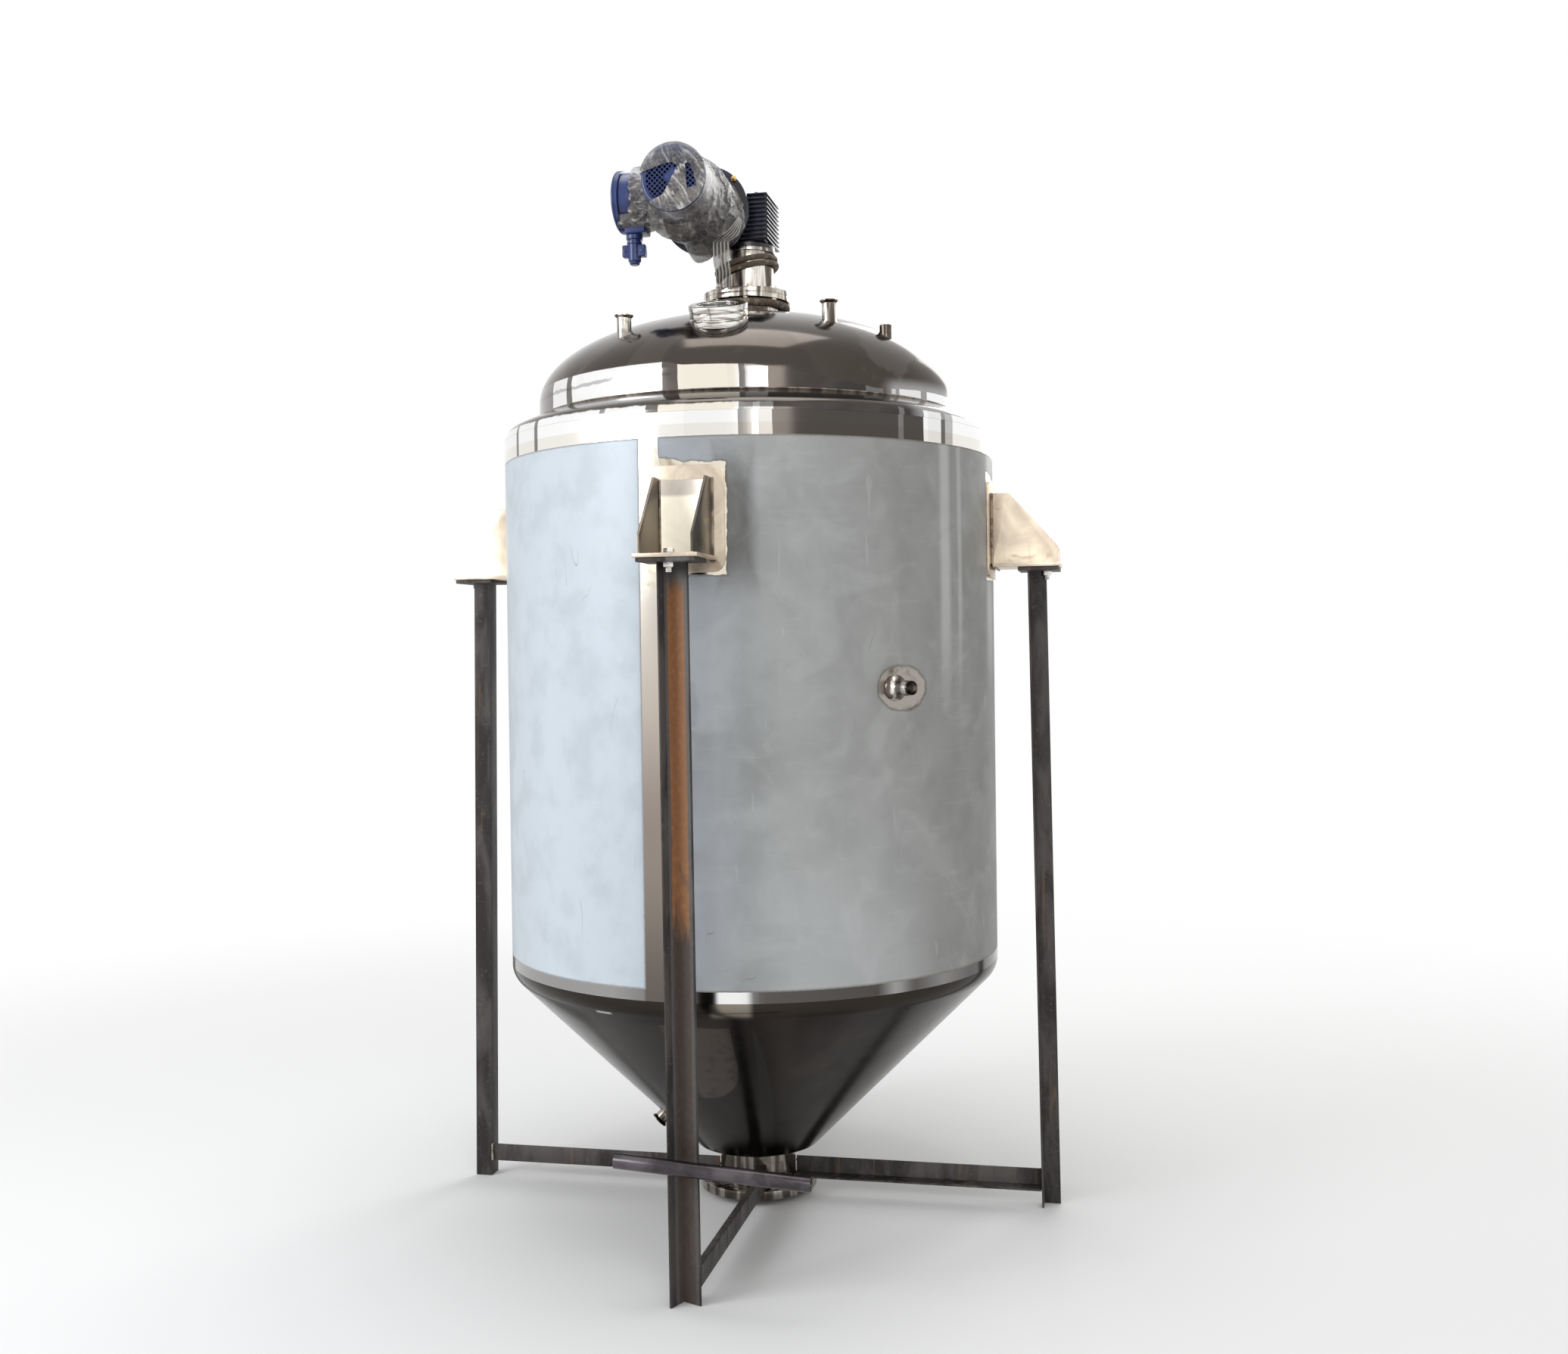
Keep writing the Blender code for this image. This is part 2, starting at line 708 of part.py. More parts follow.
def make_bracket(name, angle):
    """Base plate, back plate and two gussets, welded into one."""
    turn = turn_about_axis(angle)
    pad_face = SHELL_R + GAP + PLATE
    back = pad_face + 2 * GAP
    base_top = LUG_UNDER_Z + LUG_BASE_T
    bracket = block(
        name,
        (back, -LUG_BASE_HALF, LUG_UNDER_Z),
        (LUG_REACH, LUG_BASE_HALF, base_top),
        POLISHED,
        place=turn,
    )
    back_plate = block(
        name + "_back",
        (back, -GUSSET_HALF, base_top - 0.001),
        (back + PLATE, GUSSET_HALF, LUG_TOP_Z - 0.004),
        POLISHED,
        CUTTERS,
        turn,
    )
    inner = math.sqrt(pad_face ** 2 - (GUSSET_HALF - PLATE / 2) ** 2) + 2 * GAP
    outline = [
        (inner, base_top - 0.002),
        (GUSSET_REACH, base_top - 0.002),
        (GUSSET_REACH, base_top + GUSSET_NOSE),
        (GUSSET_TOP_REACH, LUG_TOP_Z),
        (inner, LUG_TOP_Z),
    ]
    gussets = []
    for side in (-1, 1):
        upright = Matrix.Translation((0, side * GUSSET_HALF, 0)) @ Matrix.Rotation(math.pi / 2, 4, "X")
        gussets.append(
            plate_outline(
                f"{name}_gusset_{side}", outline, PLATE, POLISHED, turn @ upright, CUTTERS
            )
        )
    fuse(bracket, back_plate, *gussets)


# Legs and braces

def angle_outline(heel_x, heel_y, size, side):
    """An L section with its heel at the inner side, one flange outward, one across."""
    t = IRON_T
    points = [
        (heel_x, heel_y),
        (heel_x + size, heel_y),
        (heel_x + size, heel_y - side * t),
        (heel_x + t, heel_y - side * t),
        (heel_x + t, heel_y - side * size),
        (heel_x, heel_y - side * size),
    ]
    return points if side < 0 else points[::-1]


def make_leg(side_name, angle):
    """An angle iron from the floor to a bolted top plate, splayed a little outward."""
    size = FRONT_LEG_IRON if side_name == "front" else LEG_IRON
    side = -1 if side_name == "front" else 1
    length = LEG_TOP_Z - LEG_PLATE_T / 2
    turn = turn_about_axis(angle)
    splay = Matrix.Identity(4)
    splay[0][2] = -LEG_SPLAY / length
    splay[0][3] = LEG_SPLAY
    section = angle_outline(LEG_HEEL_R, side * size / 2, size, side)
    leg = plate_outline(
        "leg_" + side_name, section, length, MILL_STEEL, turn @ splay @ lay_up(length / 2)
    )
    cap = block(
        f"leg_{side_name}_plate",
        (LEG_PLATE_INNER, -LEG_PLATE_HALF, LEG_TOP_Z - LEG_PLATE_T),
        (LEG_PLATE_OUTER, LEG_PLATE_HALF, LEG_TOP_Z),
        MILL_STEEL,
        CUTTERS,
        turn,
    )
    fuse(leg, cap)


def leg_inner_radius(height):
    length = LEG_TOP_Z - LEG_PLATE_T / 2
    return LEG_HEEL_R + LEG_SPLAY * (1 - height / length)


def make_brace(side_name, angle):
    """An angle iron from the leg in to the outlet neck, lying on the outlet flange."""
    start = NECK_R + GAP
    end = leg_inner_radius(BRACE_Z + BRACE_IRON) - GAP
    t, size = IRON_T, BRACE_IRON
    heel = size / 2
    section = [(-heel, 0), (heel, 0), (heel, size), (heel - t, size), (heel - t, t), (-heel, t)]
    run = Matrix(((0, 0, 1, 0), (1, 0, 0, 0), (0, 1, 0, BRACE_Z), (0, 0, 0, 1)))
    plate_outline(
        "brace_" + side_name,
        section,
        end - start,
        MILL_STEEL,
        turn_about_axis(angle) @ Matrix.Translation(((start + end) / 2, 0, 0)) @ run,
    )


def make_cross_pipe():
    """A pipe welded across the front leg, sloping down to the right."""
    front_edge = leg_inner_radius(CROSS_PIPE_Z) + FRONT_LEG_IRON
    half = CROSS_PIPE_LENGTH / 2
    bore = CROSS_PIPE_R - CROSS_PIPE_WALL
    middle_x = CROSS_PIPE_OFFSET - FRONT_LEG_IRON / 2
    middle_z = CROSS_PIPE_Z - CROSS_PIPE_OFFSET * math.tan(CROSS_PIPE_TILT)
    place = (
        Matrix.Translation((middle_x, -front_edge - CROSS_PIPE_R - GAP, middle_z))
        @ Matrix.Rotation(math.pi / 2 + CROSS_PIPE_TILT, 4, "Y")
    )
    turned(
        "cross_pipe",
        [(bore, half), (CROSS_PIPE_R, half), (CROSS_PIPE_R, -half), (bore, -half)],
        MILL_STEEL,
        place=place,
    )


# Drive

def make_lantern():
    top = LANTERN_Z + LANTERN_HEIGHT
    turned(
        "lantern",
        [
            (0.0, top),
            (LANTERN_R + 0.006, top),
            (LANTERN_R + 0.006, top - 0.010),
            (LANTERN_R, top - 0.010),
            (LANTERN_R, LANTERN_Z + AGITATOR_FLANGE_T + 0.006),
            (LANTERN_R + 0.006, LANTERN_Z + AGITATOR_FLANGE_T),
            (AGITATOR_FLANGE_R, LANTERN_Z + AGITATOR_FLANGE_T),
            (AGITATOR_FLANGE_R, LANTERN_Z),
            (0.0, LANTERN_Z),
        ],
        POLISHED,
        36,
    )


def make_gearbox():
    """A foot ring, a core and a stack of cooling fins round three sides."""
    foot_r = LANTERN_R + 0.004
    foot = turned(
        "gearbox",
        [
            (0.0, GEARBOX_BODY_Z + 0.002),
            (foot_r - 0.010, GEARBOX_BODY_Z + 0.002),
            (foot_r - 0.004, GEARBOX_Z + 0.012),
            (foot_r, GEARBOX_Z + 0.012),
            (foot_r, GEARBOX_Z),
            (0.0, GEARBOX_Z),
        ],
        BLUE,
        32,
    )
    x0, x1 = GEARBOX_X
    y1 = GEARBOX_HALF_Y
    z0, z1 = GEARBOX_BODY_Z, GEARBOX_BODY_Z + GEARBOX_HEIGHT
    core = block(
        "gearbox_core", (x0, -y1, z0), (x1 - FIN_DEPTH, y1, z1), BLUE, CUTTERS
    )
    pitch = (GEARBOX_HEIGHT - FIN_T) / (FIN_COUNT - 1)
    fins = [
        block(
            f"gearbox_fin_{index}",
            (x1 - FIN_DEPTH - 0.002, -y1, z0 + index * pitch),
            (x1, y1, z0 + index * pitch + FIN_T),
            BLUE,
            CUTTERS,
        )
        for index in range(FIN_COUNT)
    ]
    fuse(foot, core, *fins)


def along_motor(y):
    """Lay a turned piece along the motor's axis, its height running to the front."""
    return Matrix.Translation((-WORM_OFFSET, y, MOTOR_Z)) @ Matrix.Rotation(math.pi / 2, 4, "X")


def make_input_flange():
    turned(
        "input_flange",
        [
            (0.0, INPUT_BELL_LENGTH + INPUT_FLANGE_T),
            (INPUT_FLANGE_R, INPUT_BELL_LENGTH + INPUT_FLANGE_T),
            (INPUT_FLANGE_R, INPUT_BELL_LENGTH),
            (INPUT_BELL_R, INPUT_BELL_LENGTH - 0.008),
            (INPUT_BELL_R, 0.0),
            (0.0, 0.0),
        ],
        BLUE,
        48,
        along_motor(INPUT_FLANGE_Y),
    )


def make_motor():
    """A barrel with cooling fins along it, from a star-shaped outline."""
    root, tip = MOTOR_R - MOTOR_FIN_DEPTH, MOTOR_R
    outline = []
    for index in range(MOTOR_FINS):
        middle = 2 * math.pi * index / MOTOR_FINS
        width = math.pi / MOTOR_FINS
        for offset, radius in ((-0.62, root), (-0.3, tip), (0.3, tip), (0.62, root)):
            a = middle + offset * width
            outline.append((radius * math.cos(a), radius * math.sin(a)))
    plate_outline(
        "motor",
        outline,
        MOTOR_LENGTH,
        BLUE,
        along_motor(MOTOR_Y - MOTOR_LENGTH / 2),
    )


def make_fan_cover():
    """A drawn cowl whose end is a grille of bars crossing at 45 degrees."""
    wall = FAN_COVER_WALL
    depth = FAN_COVER_LENGTH
    cover = turned(
        "fan_cover",
        [
            (GRILLE_R, depth),
            (FAN_COVER_R - 0.006, depth),
            (FAN_COVER_R, depth - 0.006),
            (FAN_COVER_R, 0.0),
            (FAN_COVER_R - wall, 0.0),
            (FAN_COVER_R - wall, depth - wall - 0.004),
            (GRILLE_R, depth - wall),
        ],
        BLUE,
        36,
        along_motor(FAN_COVER_Y),
    )
    hub = turned(
        "fan_hub",
        [(0.0, depth - 0.001), (0.020, depth - 0.001), (0.020, depth - 0.0025), (0.0, depth - 0.0025)],
        BLUE,
        12,
        along_motor(FAN_COVER_Y),
        CUTTERS,
    )
    bars = []
    reach = int(GRILLE_R / GRILLE_PITCH)
    for family in (-1, 1):
        lean = Matrix.Rotation(family * math.pi / 4, 4, "Z")
        for index in range(-reach, reach + 1):
            across = index * GRILLE_PITCH
            half = math.sqrt((GRILLE_R + 0.002) ** 2 - across ** 2)
            low = depth - 0.0024 - 0.0002 * family
            bars.append(
                block(
                    f"grille_bar_{family}_{index}",
                    (-half, across - GRILLE_BAR / 2, low),
                    (half, across + GRILLE_BAR / 2, low + 0.0012),
                    BLUE,
                    CUTTERS,
                    along_motor(FAN_COVER_Y) @ lean,
                )
            )
    fuse(cover, hub, *bars)


def sideways(x):
    """Lay a turned piece with its height running to the left from the motor."""
    return (
        Matrix.Translation((-WORM_OFFSET + x, TERMINAL_Y, MOTOR_Z))
        @ Matrix.Rotation(-math.pi / 2, 4, "Y")
    )


def make_terminal_box():
    root = MOTOR_R + GAP
    face = TERMINAL_REACH - TERMINAL_LID_T - GAP
    turned(
        "terminal_box",
        [
            (0.0, face),
            (TERMINAL_BODY_R, face),
            (TERMINAL_BODY_R, face - 0.048),
            (TERMINAL_NECK_R, face - 0.064),
            (TERMINAL_NECK_R, root),
            (0.0, root),
        ],
        BLUE,
        32,
        sideways(0.0),
    )
    turned(
        "terminal_lid",
        [
            (0.0, TERMINAL_REACH),
            (TERMINAL_LID_R - 0.014, TERMINAL_REACH),
            (TERMINAL_LID_R - 0.004, TERMINAL_REACH - 0.005),
            (TERMINAL_LID_R, TERMINAL_REACH - 0.009),
            (TERMINAL_LID_R, TERMINAL_REACH - TERMINAL_LID_T),
            (0.0, TERMINAL_REACH - TERMINAL_LID_T),
        ],
        BLUE,
        32,
        sideways(0.0),
    )


def make_gland():
    """An entry socket, a threaded body and a clamp with two ears."""
    x = -WORM_OFFSET - (TERMINAL_REACH - TERMINAL_LID_T - 0.027)
    top = -TERMINAL_BODY_R - GAP
    place = Matrix.Translation((x, TERMINAL_Y, MOTOR_Z))
    gland = turned(
        "cable_gland",
        [
            (0.0, top),
            (GLAND_R + 0.005, top),
            (GLAND_R + 0.005, top - 0.030),
            (GLAND_R, top - 0.036),
            (GLAND_R, -GLAND_DROP - 0.018),
            (GLAND_R - 0.005, -GLAND_DROP - 0.026),
            (0.0, -GLAND_DROP - 0.026),
        ],
        BLUE,
        20,
        place,
    )
    ears = block(
        "gland_ears",
        (-0.034, -0.010, -GLAND_DROP - 0.004),
        (0.034, 0.010, -GLAND_DROP + 0.018),
        BLUE,
        CUTTERS,
        place,
    )
    fuse(gland, ears)


def make_film():
    """Stretch film pulled tight from the fan cover over the input flange's rim."""
    front = -(FAN_COVER_Y - 0.030)
    rear = -MOTOR_Y
    nose, skirt = FAN_COVER_R + GAP, INPUT_FLANGE_R - 0.004
    film = turned(
        "film_wrap",
        [
            (nose + FILM_WALL, front),
            (skirt, rear),
            (skirt - FILM_WALL, rear),
            (nose, front - 0.028),
            (nose, front),
        ],
        FILM,
        36,
        Matrix.Translation((-WORM_OFFSET, 0.0, MOTOR_Z)) @ Matrix.Rotation(math.pi / 2, 4, "X"),
    )
    opening = turned(
        "film_opening",
        [
            (0.0, TERMINAL_REACH),
            (TERMINAL_NECK_R + GAP, TERMINAL_REACH),
            (TERMINAL_NECK_R + GAP, 0.0),
            (0.0, 0.0),
        ],
        FILM,
        32,
        sideways(0.0),
        CUTTERS,
    )
    cut(film, opening)


# Rope

def rope_loop(name, radius, height, tilt, tilt_angle):
    """One closed turn of rope round an upright cylinder, higher on one side."""
    curve = bpy.data.curves.new(name, "CURVE")
    curve.dimensions = "3D"
    curve.bevel_depth = ROPE_R
    curve.bevel_resolution = 2
    spline = curve.splines.new("POLY")
    count = 36
    spline.points.add(count - 1)
    for index, point in enumerate(spline.points):
        a = 2 * math.pi * index / count
        rise = radius * math.tan(tilt) * math.cos(a - tilt_angle)
        point.co = (radius * math.cos(a), radius * math.sin(a), height + rise, 1.0)
    spline.use_cyclic_u = True
    source = bpy.data.objects.new(name + "_path", curve)
    bpy.context.scene.collection.objects.link(source)
    obj = as_mesh_object(source, name)
    smooth(obj.data)
    finish(obj, ROPE)


def main():
    make_walls()
    make_shoulder()
    make_head()
    neck_top = make_cone()
    make_outlet(neck_top)
    cutter = head_cutter()
    make_agitator_nozzle(cutter)
    make_sight_glass(cutter)
    make_head_nozzles(cutter)
    make_side_nozzle()
    make_cone_nozzle()
    for side_name, angle in SIDES.items():
        make_pad("lug_pad_" + side_name, angle)
        make_bracket("lug_" + side_name, angle)
        make_leg(side_name, angle)
        make_brace(side_name, angle)
    make_cross_pipe()
    make_lantern()
    make_gearbox()
    make_input_flange()
    make_motor()
    make_fan_cover()
    make_terminal_box()
    make_gland()
    make_film()
    rope_loop("rope_upper", LANTERN_R + ROPE_R + GAP, LANTERN_Z + 0.075, math.radians(8), math.radians(0))
    rope_loop("rope_lower", AGITATOR_NECK_R + ROPE_R + GAP, AGITATOR_FLANGE_Z - ROPE_R - 0.001, 0.0, 0.0)


main()
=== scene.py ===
# %% [markdown]
# # Dressing a settling tank
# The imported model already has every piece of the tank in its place, in metres. This
# script loads it, keeps that frame, and gives each piece the surface of the real one:
# bright stainless, protective film, mill scale, blue enamel and crumpled stretch film.

import math

import bmesh
import bpy
import numpy as np
from mathutils import Matrix, Vector, noise


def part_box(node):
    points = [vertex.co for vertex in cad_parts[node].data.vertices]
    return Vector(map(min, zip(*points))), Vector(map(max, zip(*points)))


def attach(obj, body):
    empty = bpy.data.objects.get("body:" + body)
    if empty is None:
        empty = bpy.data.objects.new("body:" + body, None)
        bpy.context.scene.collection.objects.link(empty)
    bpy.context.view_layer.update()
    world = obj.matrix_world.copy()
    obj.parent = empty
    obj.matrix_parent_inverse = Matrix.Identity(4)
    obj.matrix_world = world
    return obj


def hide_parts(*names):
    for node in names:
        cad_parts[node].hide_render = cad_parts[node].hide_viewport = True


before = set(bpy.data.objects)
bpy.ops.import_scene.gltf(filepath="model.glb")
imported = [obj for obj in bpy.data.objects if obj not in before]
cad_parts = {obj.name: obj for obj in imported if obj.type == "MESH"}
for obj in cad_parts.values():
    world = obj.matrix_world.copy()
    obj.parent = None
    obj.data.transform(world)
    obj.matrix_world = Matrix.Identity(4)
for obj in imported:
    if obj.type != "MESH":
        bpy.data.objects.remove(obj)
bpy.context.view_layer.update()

# %% [markdown]
# ## The camera
# The photographer stood about 4.6 m from the tank with the lens level with its middle.
# The camera is written as where the eye is and how it is turned, because those three
# angles are what a camera is solved for.

# %% Camera
scene = bpy.context.scene
EYE = Vector((1.0611, -4.4993, 1.5589))
YAW, PITCH, ROLL = (math.radians(a) for a in (12.12, -0.79, -0.74))
FRAME_WIDTH_PX, FOCAL_PX, SENSOR_MM = 2072, 2095.95, 36.0

ahead = Vector((-math.sin(YAW) * math.cos(PITCH), math.cos(YAW) * math.cos(PITCH), math.sin(PITCH)))
level_right = Vector((math.cos(YAW), math.sin(YAW), 0.0))
level_up = level_right.cross(ahead)
camera_right = math.cos(ROLL) * level_right + math.sin(ROLL) * level_up
camera_up = math.cos(ROLL) * level_up - math.sin(ROLL) * level_right

lens = bpy.data.cameras.new("camera")
lens.sensor_width = SENSOR_MM
lens.lens = FOCAL_PX / FRAME_WIDTH_PX * SENSOR_MM
lens.clip_end = 200.0
camera = bpy.data.objects.new("camera", lens)
axes = Matrix((camera_right, camera_up, -ahead)).transposed().to_4x4()
camera.matrix_world = Matrix.Translation(EYE) @ axes
scene.collection.objects.link(camera)
scene.camera = camera
print(f"Lens {lens.lens:.2f} mm")

# %% [markdown]
# ## Writing materials as sums
# A node tree for one finish can hold fifty nodes. It reads better as arithmetic, so a
# small class wraps a node's output and lets + - * / build the Math nodes.


# %% Shader helpers
class Socket:
    """An output of a shader node. Python's operators on it add Math nodes."""

    def __init__(self, finish, output):
        self.finish, self.output = finish, output

    def math(self, operation, first, second=0.0):
        return self.finish.node("Math", {"operation": operation}, {0: first, 1: second})

    def __add__(self, other):
        return self.math("ADD", self, other)

    def __sub__(self, other):
        return self.math("SUBTRACT", self, other)

    def __rsub__(self, other):
        return self.math("SUBTRACT", other, self)

    def __mul__(self, other):
        return self.math("MULTIPLY", self, other)

    def __truediv__(self, other):
        return self.math("DIVIDE", self, other)

    __radd__, __rmul__ = __add__, __mul__

    def lowest(self, other):
        return self.math("MINIMUM", self, other)

    def highest(self, other):
        return self.math("MAXIMUM", self, other)

    def root(self):
        return self.math("SQRT", self)

    def size(self):
        return self.math("ABSOLUTE", self)

    def fade(self, start, end):
        """0 at start and 1 at end, with a soft run between them."""
        return self.finish.node(
            "MapRange",
            {"interpolation_type": "SMOOTHSTEP"},
            {"Value": self, "From Min": start, "From Max": end},
        )


class Finish:
    """A named material, with short ways to add its nodes."""

    def __init__(self, name, **fixed):
        self.material = bpy.data.materials.new(name)
        self.material.use_nodes = True
        self.tree = self.material.node_tree
        self.shader = self.tree.nodes["Principled BSDF"]
        self.place = self.node("TexCoord", out="Object")
        self.x, self.y, self.z = (
            self.node("SeparateXYZ", {}, {0: self.place}, out=axis) for axis in "XYZ"
        )
        self.feed(**fixed)

    def node(self, kind, settings=None, inputs=None, out=0):
        node = self.tree.nodes.new("ShaderNode" + kind)
        for key, value in (settings or {}).items():
            if key == "stops":
                self.set_stops(node.color_ramp, value)
            else:
                setattr(node, key, value)
        for key, value in (inputs or {}).items():
            self.plug(node.inputs[key], value)
        return Socket(self, node.outputs[out])

    def set_stops(self, ramp, stops):
        while len(ramp.elements) < len(stops):
            ramp.elements.new(0.5)
        for element, (position, color) in zip(ramp.elements, stops):
            element.position = position
            element.color = (*color, 1.0) if isinstance(color, tuple) else (color,) * 3 + (1.0,)

    def plug(self, target, value):
        if isinstance(value, Socket):
            self.tree.links.new(value.output, target)
        elif isinstance(value, tuple) and target.type == "RGBA":
            target.default_value = (*value, 1.0)
        else:
            target.default_value = value

    def feed(self, **values):
        """Set or link the shader's own sockets, such as base_color or roughness."""
        for key, value in values.items():
            self.plug(self.shader.inputs[key.replace("_", " ").title()], value)

    def noise(self, scale, detail=3.0, stretch=None, roughness=0.55, distortion=0.0):
        at = self.place
        if stretch:
            at = self.node("VectorMath", {"operation": "MULTIPLY"}, {0: at, 1: stretch})
        return self.node(
            "TexNoise",
            {},
            {
                "Vector": at,
                "Scale": scale,
                "Detail": detail,
                "Roughness": roughness,
                "Distortion": distortion,
            },
        )

    def spots(self, scale, threshold):
        """Small dark specks: the middles of random cells."""
        cell = self.node("TexVoronoi", {}, {"Vector": self.place, "Scale": scale})
        return cell.fade(threshold, threshold * 0.6)

    def mix(self, amount, first, second, blend="MIX"):
        return self.node(
            "Mix",
            {"data_type": "RGBA", "blend_type": blend},
            {0: amount, 6: first, 7: second},
            out=2,
        )

    def ramp(self, value, stops, smooth=True):
        socket = self.node("ValToRGB", {"stops": stops}, {0: value})
        socket.output.node.color_ramp.interpolation = "EASE" if smooth else "LINEAR"
        return socket

    def turn(self):
        """The angle round the tank in degrees: -90 at the front lug, 0 at the right one."""
        return self.node("Math", {"operation": "ARCTAN2"}, {0: self.y, 1: self.x}) * (180 / math.pi)

    def bump(self, height, distance, strength=1.0):
        return self.node(
            "Bump", {}, {"Height": height, "Distance": distance, "Strength": strength}
        )


print("Shader helpers ready")

# %% [markdown]
# ## Building and handing over pieces
# Nearly everything on a tank is turned or rolled, so one lathe makes most pieces. The
# lathe takes a closed outline in radius and height. Its corners can be softened first,
# because a real edge always carries a small highlight.


# %% Lathe and outline helpers
def arc(radius_at, height_at, radius, start, end, count):
    """Points on part of a circle, in degrees, as (radius, height)."""
    return [
        (
            radius_at + radius * math.cos(math.radians(start + (end - start) * i / count)),
            height_at + radius * math.sin(math.radians(start + (end - start) * i / count)),
        )
        for i in range(count + 1)
    ]


def softened(outline, radius, count=3):
    """Round the sharp corners of a closed (radius, height) outline that is off the axis."""
    points = [Vector(p) for p in outline]
    result = []
    for index, corner in enumerate(points):
        before, after = points[index - 1], points[(index + 1) % len(points)]
        to_before, to_after = before - corner, after - corner
        bend = math.pi - to_before.angle(to_after, math.pi)
        if corner.x < 1e-6 or bend < math.radians(20):
            result.append(tuple(corner))
            continue
        reach = min(radius, to_before.length * 0.45, to_after.length * 0.45)
        first = corner + to_before.normalized() * reach
        last = corner + to_after.normalized() * reach
        for step in range(count + 1):
            t = step / count
            point = first * (1 - t) ** 2 + corner * (2 * t * (1 - t)) + last * t**2
            result.append(tuple(point))
    return result


def mesh_piece(name, vertices, faces):
    mesh = bpy.data.meshes.new(name)
    mesh.from_pydata([tuple(v) for v in vertices], [], faces)
    mesh.validate()
    return bpy.data.objects.new(name, mesh)


def lathe(name, outline, steps, place=None):
    """Turn a closed outline about Z, with single points where it meets the axis."""
    area = sum(a[0] * b[1] - b[0] * a[1] for a, b in zip(outline, outline[1:] + outline[:1]))
    if area < 0:
        outline = outline[::-1]
    vertices, rings = [], []
    for radius, height in outline:
        start = len(vertices)
        if radius < 1e-6:
            vertices.append((0.0, 0.0, height))
            rings.append([start] * steps)
        else:
            for step in range(steps):
                a = 2 * math.pi * step / steps
                vertices.append((radius * math.cos(a), radius * math.sin(a), height))
            rings.append(list(range(start, start + steps)))
    faces = []
    for index, lower in enumerate(rings):
        upper = rings[(index + 1) % len(rings)]
        if lower[0] == lower[1] and upper[0] == upper[1]:
            continue
        for step in range(steps):
            after = (step + 1) % steps
            corners = [lower[step], lower[after], upper[after], upper[step]]
            faces.append([c for k, c in enumerate(corners) if c != corners[k - 1]])
    piece = mesh_piece(name, vertices, faces)
    if place is not None:
        piece.data.transform(place)
    return piece


def solid_outline(points):
    """Close an outline that starts and ends off the axis by running along the axis."""
    return [(0.0, points[0][1])] + points + [(0.0, points[-1][1])]


pieces_made = []


def hand_over(piece, finish, slot, *nodes, sharp=35.0):
    """Shade a piece, give it its finish, and hide the nodes it stands for. The slot is not used."""
    if piece.name not in scene.collection.objects:
        scene.collection.objects.link(piece)
    piece.data.materials.clear()
    piece.data.materials.append(finish.material)
    piece.data.shade_smooth()
    if sharp:
        piece.data.set_sharp_from_angle(angle=math.radians(sharp))
    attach(piece, "root")
    if nodes:
        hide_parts(*nodes)
    pieces_made.append(piece.name)
    return piece


def applied(piece):
    """Turn an object's modifiers into its mesh."""
    bpy.context.view_layer.update()
    graph = bpy.context.evaluated_depsgraph_get()
    mesh = bpy.data.meshes.new_from_object(piece.evaluated_get(graph))
    piece.modifiers.clear()
    piece.data = mesh
    return piece


def edged(piece, width, segments=2):
    """Round the sharp edges of a piece."""
    if piece.name not in scene.collection.objects:
        scene.collection.objects.link(piece)
    rounder = piece.modifiers.new("Rounded edges", "BEVEL")
    rounder.width = width
    rounder.segments = segments
    rounder.limit_method = "ANGLE"
    rounder.angle_limit = math.radians(30)
    rounder.use_clamp_overlap = True
    return applied(piece)


def reworked(piece, *steps):
    """Run each step on a piece's mesh as a bmesh, and write the mesh back."""
    bm = bmesh.new()
    bm.from_mesh(piece.data)
    for step in steps:
        step(bm)
    bm.to_mesh(piece.data)
    bm.free()
    return piece


def merge_points(bm):
    bmesh.ops.remove_doubles(bm, verts=bm.verts, dist=0.00001)


def join_flat_faces(bm):
    bmesh.ops.dissolve_limit(
        bm, angle_limit=math.radians(1.0), verts=bm.verts, edges=bm.edges, use_dissolve_boundaries=False
    )


def face_outward(bm):
    bmesh.ops.recalc_face_normals(bm, faces=bm.faces)


def drop_loose_points(bm):
    bmesh.ops.delete(bm, geom=[v for v in bm.verts if not v.link_faces], context="VERTS")


def prism(name, first, last):
    """A closed bar between two outlines with as many points, its ends capped."""
    count = len(first)
    faces = [tuple(reversed(range(count))), tuple(range(count, 2 * count))]
    faces += [(i, (i + 1) % count, count + (i + 1) % count, count + i) for i in range(count)]
    return reworked(mesh_piece(name, first + last, faces), face_outward)


def rounded_block(name, low, high, radius):
    """A block between two corners with its edges rounded."""
    low, high = Vector(low), Vector(high)
    place = Matrix.Translation((low + high) / 2) @ Matrix.Diagonal((*(high - low), 1))

    def build(bm):
        bmesh.ops.create_cube(bm, size=1.0, matrix=place)
        bmesh.ops.bevel(bm, geom=bm.edges[:], offset=radius, segments=3, affect="EDGES", profile=0.6)

    return reworked(mesh_piece(name, [], []), build)


def edged_copy(node, name, width):
    """A copy of a CAD node, merged, with its flat faces joined and its edges rounded."""
    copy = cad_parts[node].copy()
    copy.data = copy.data.copy()
    copy.name = name
    for key in list(copy.keys()):
        del copy[key]
    copy.parent = None
    copy.matrix_world = Matrix.Identity(4)
    scene.collection.objects.link(copy)
    reworked(copy, merge_points, join_flat_faces)
    for layer in list(copy.data.attributes):
        if layer.name in ("custom_normal", "sharp_edge"):
            copy.data.attributes.remove(layer)
    return edged(copy, width)


def dress(node, name, width, finish, slot, **shading):
    """Hand over a CAD node's own shape, its edges rounded, as the piece that stands for it."""
    return hand_over(edged_copy(node, name, width), finish, slot, node, **shading)


print("Lathe ready")

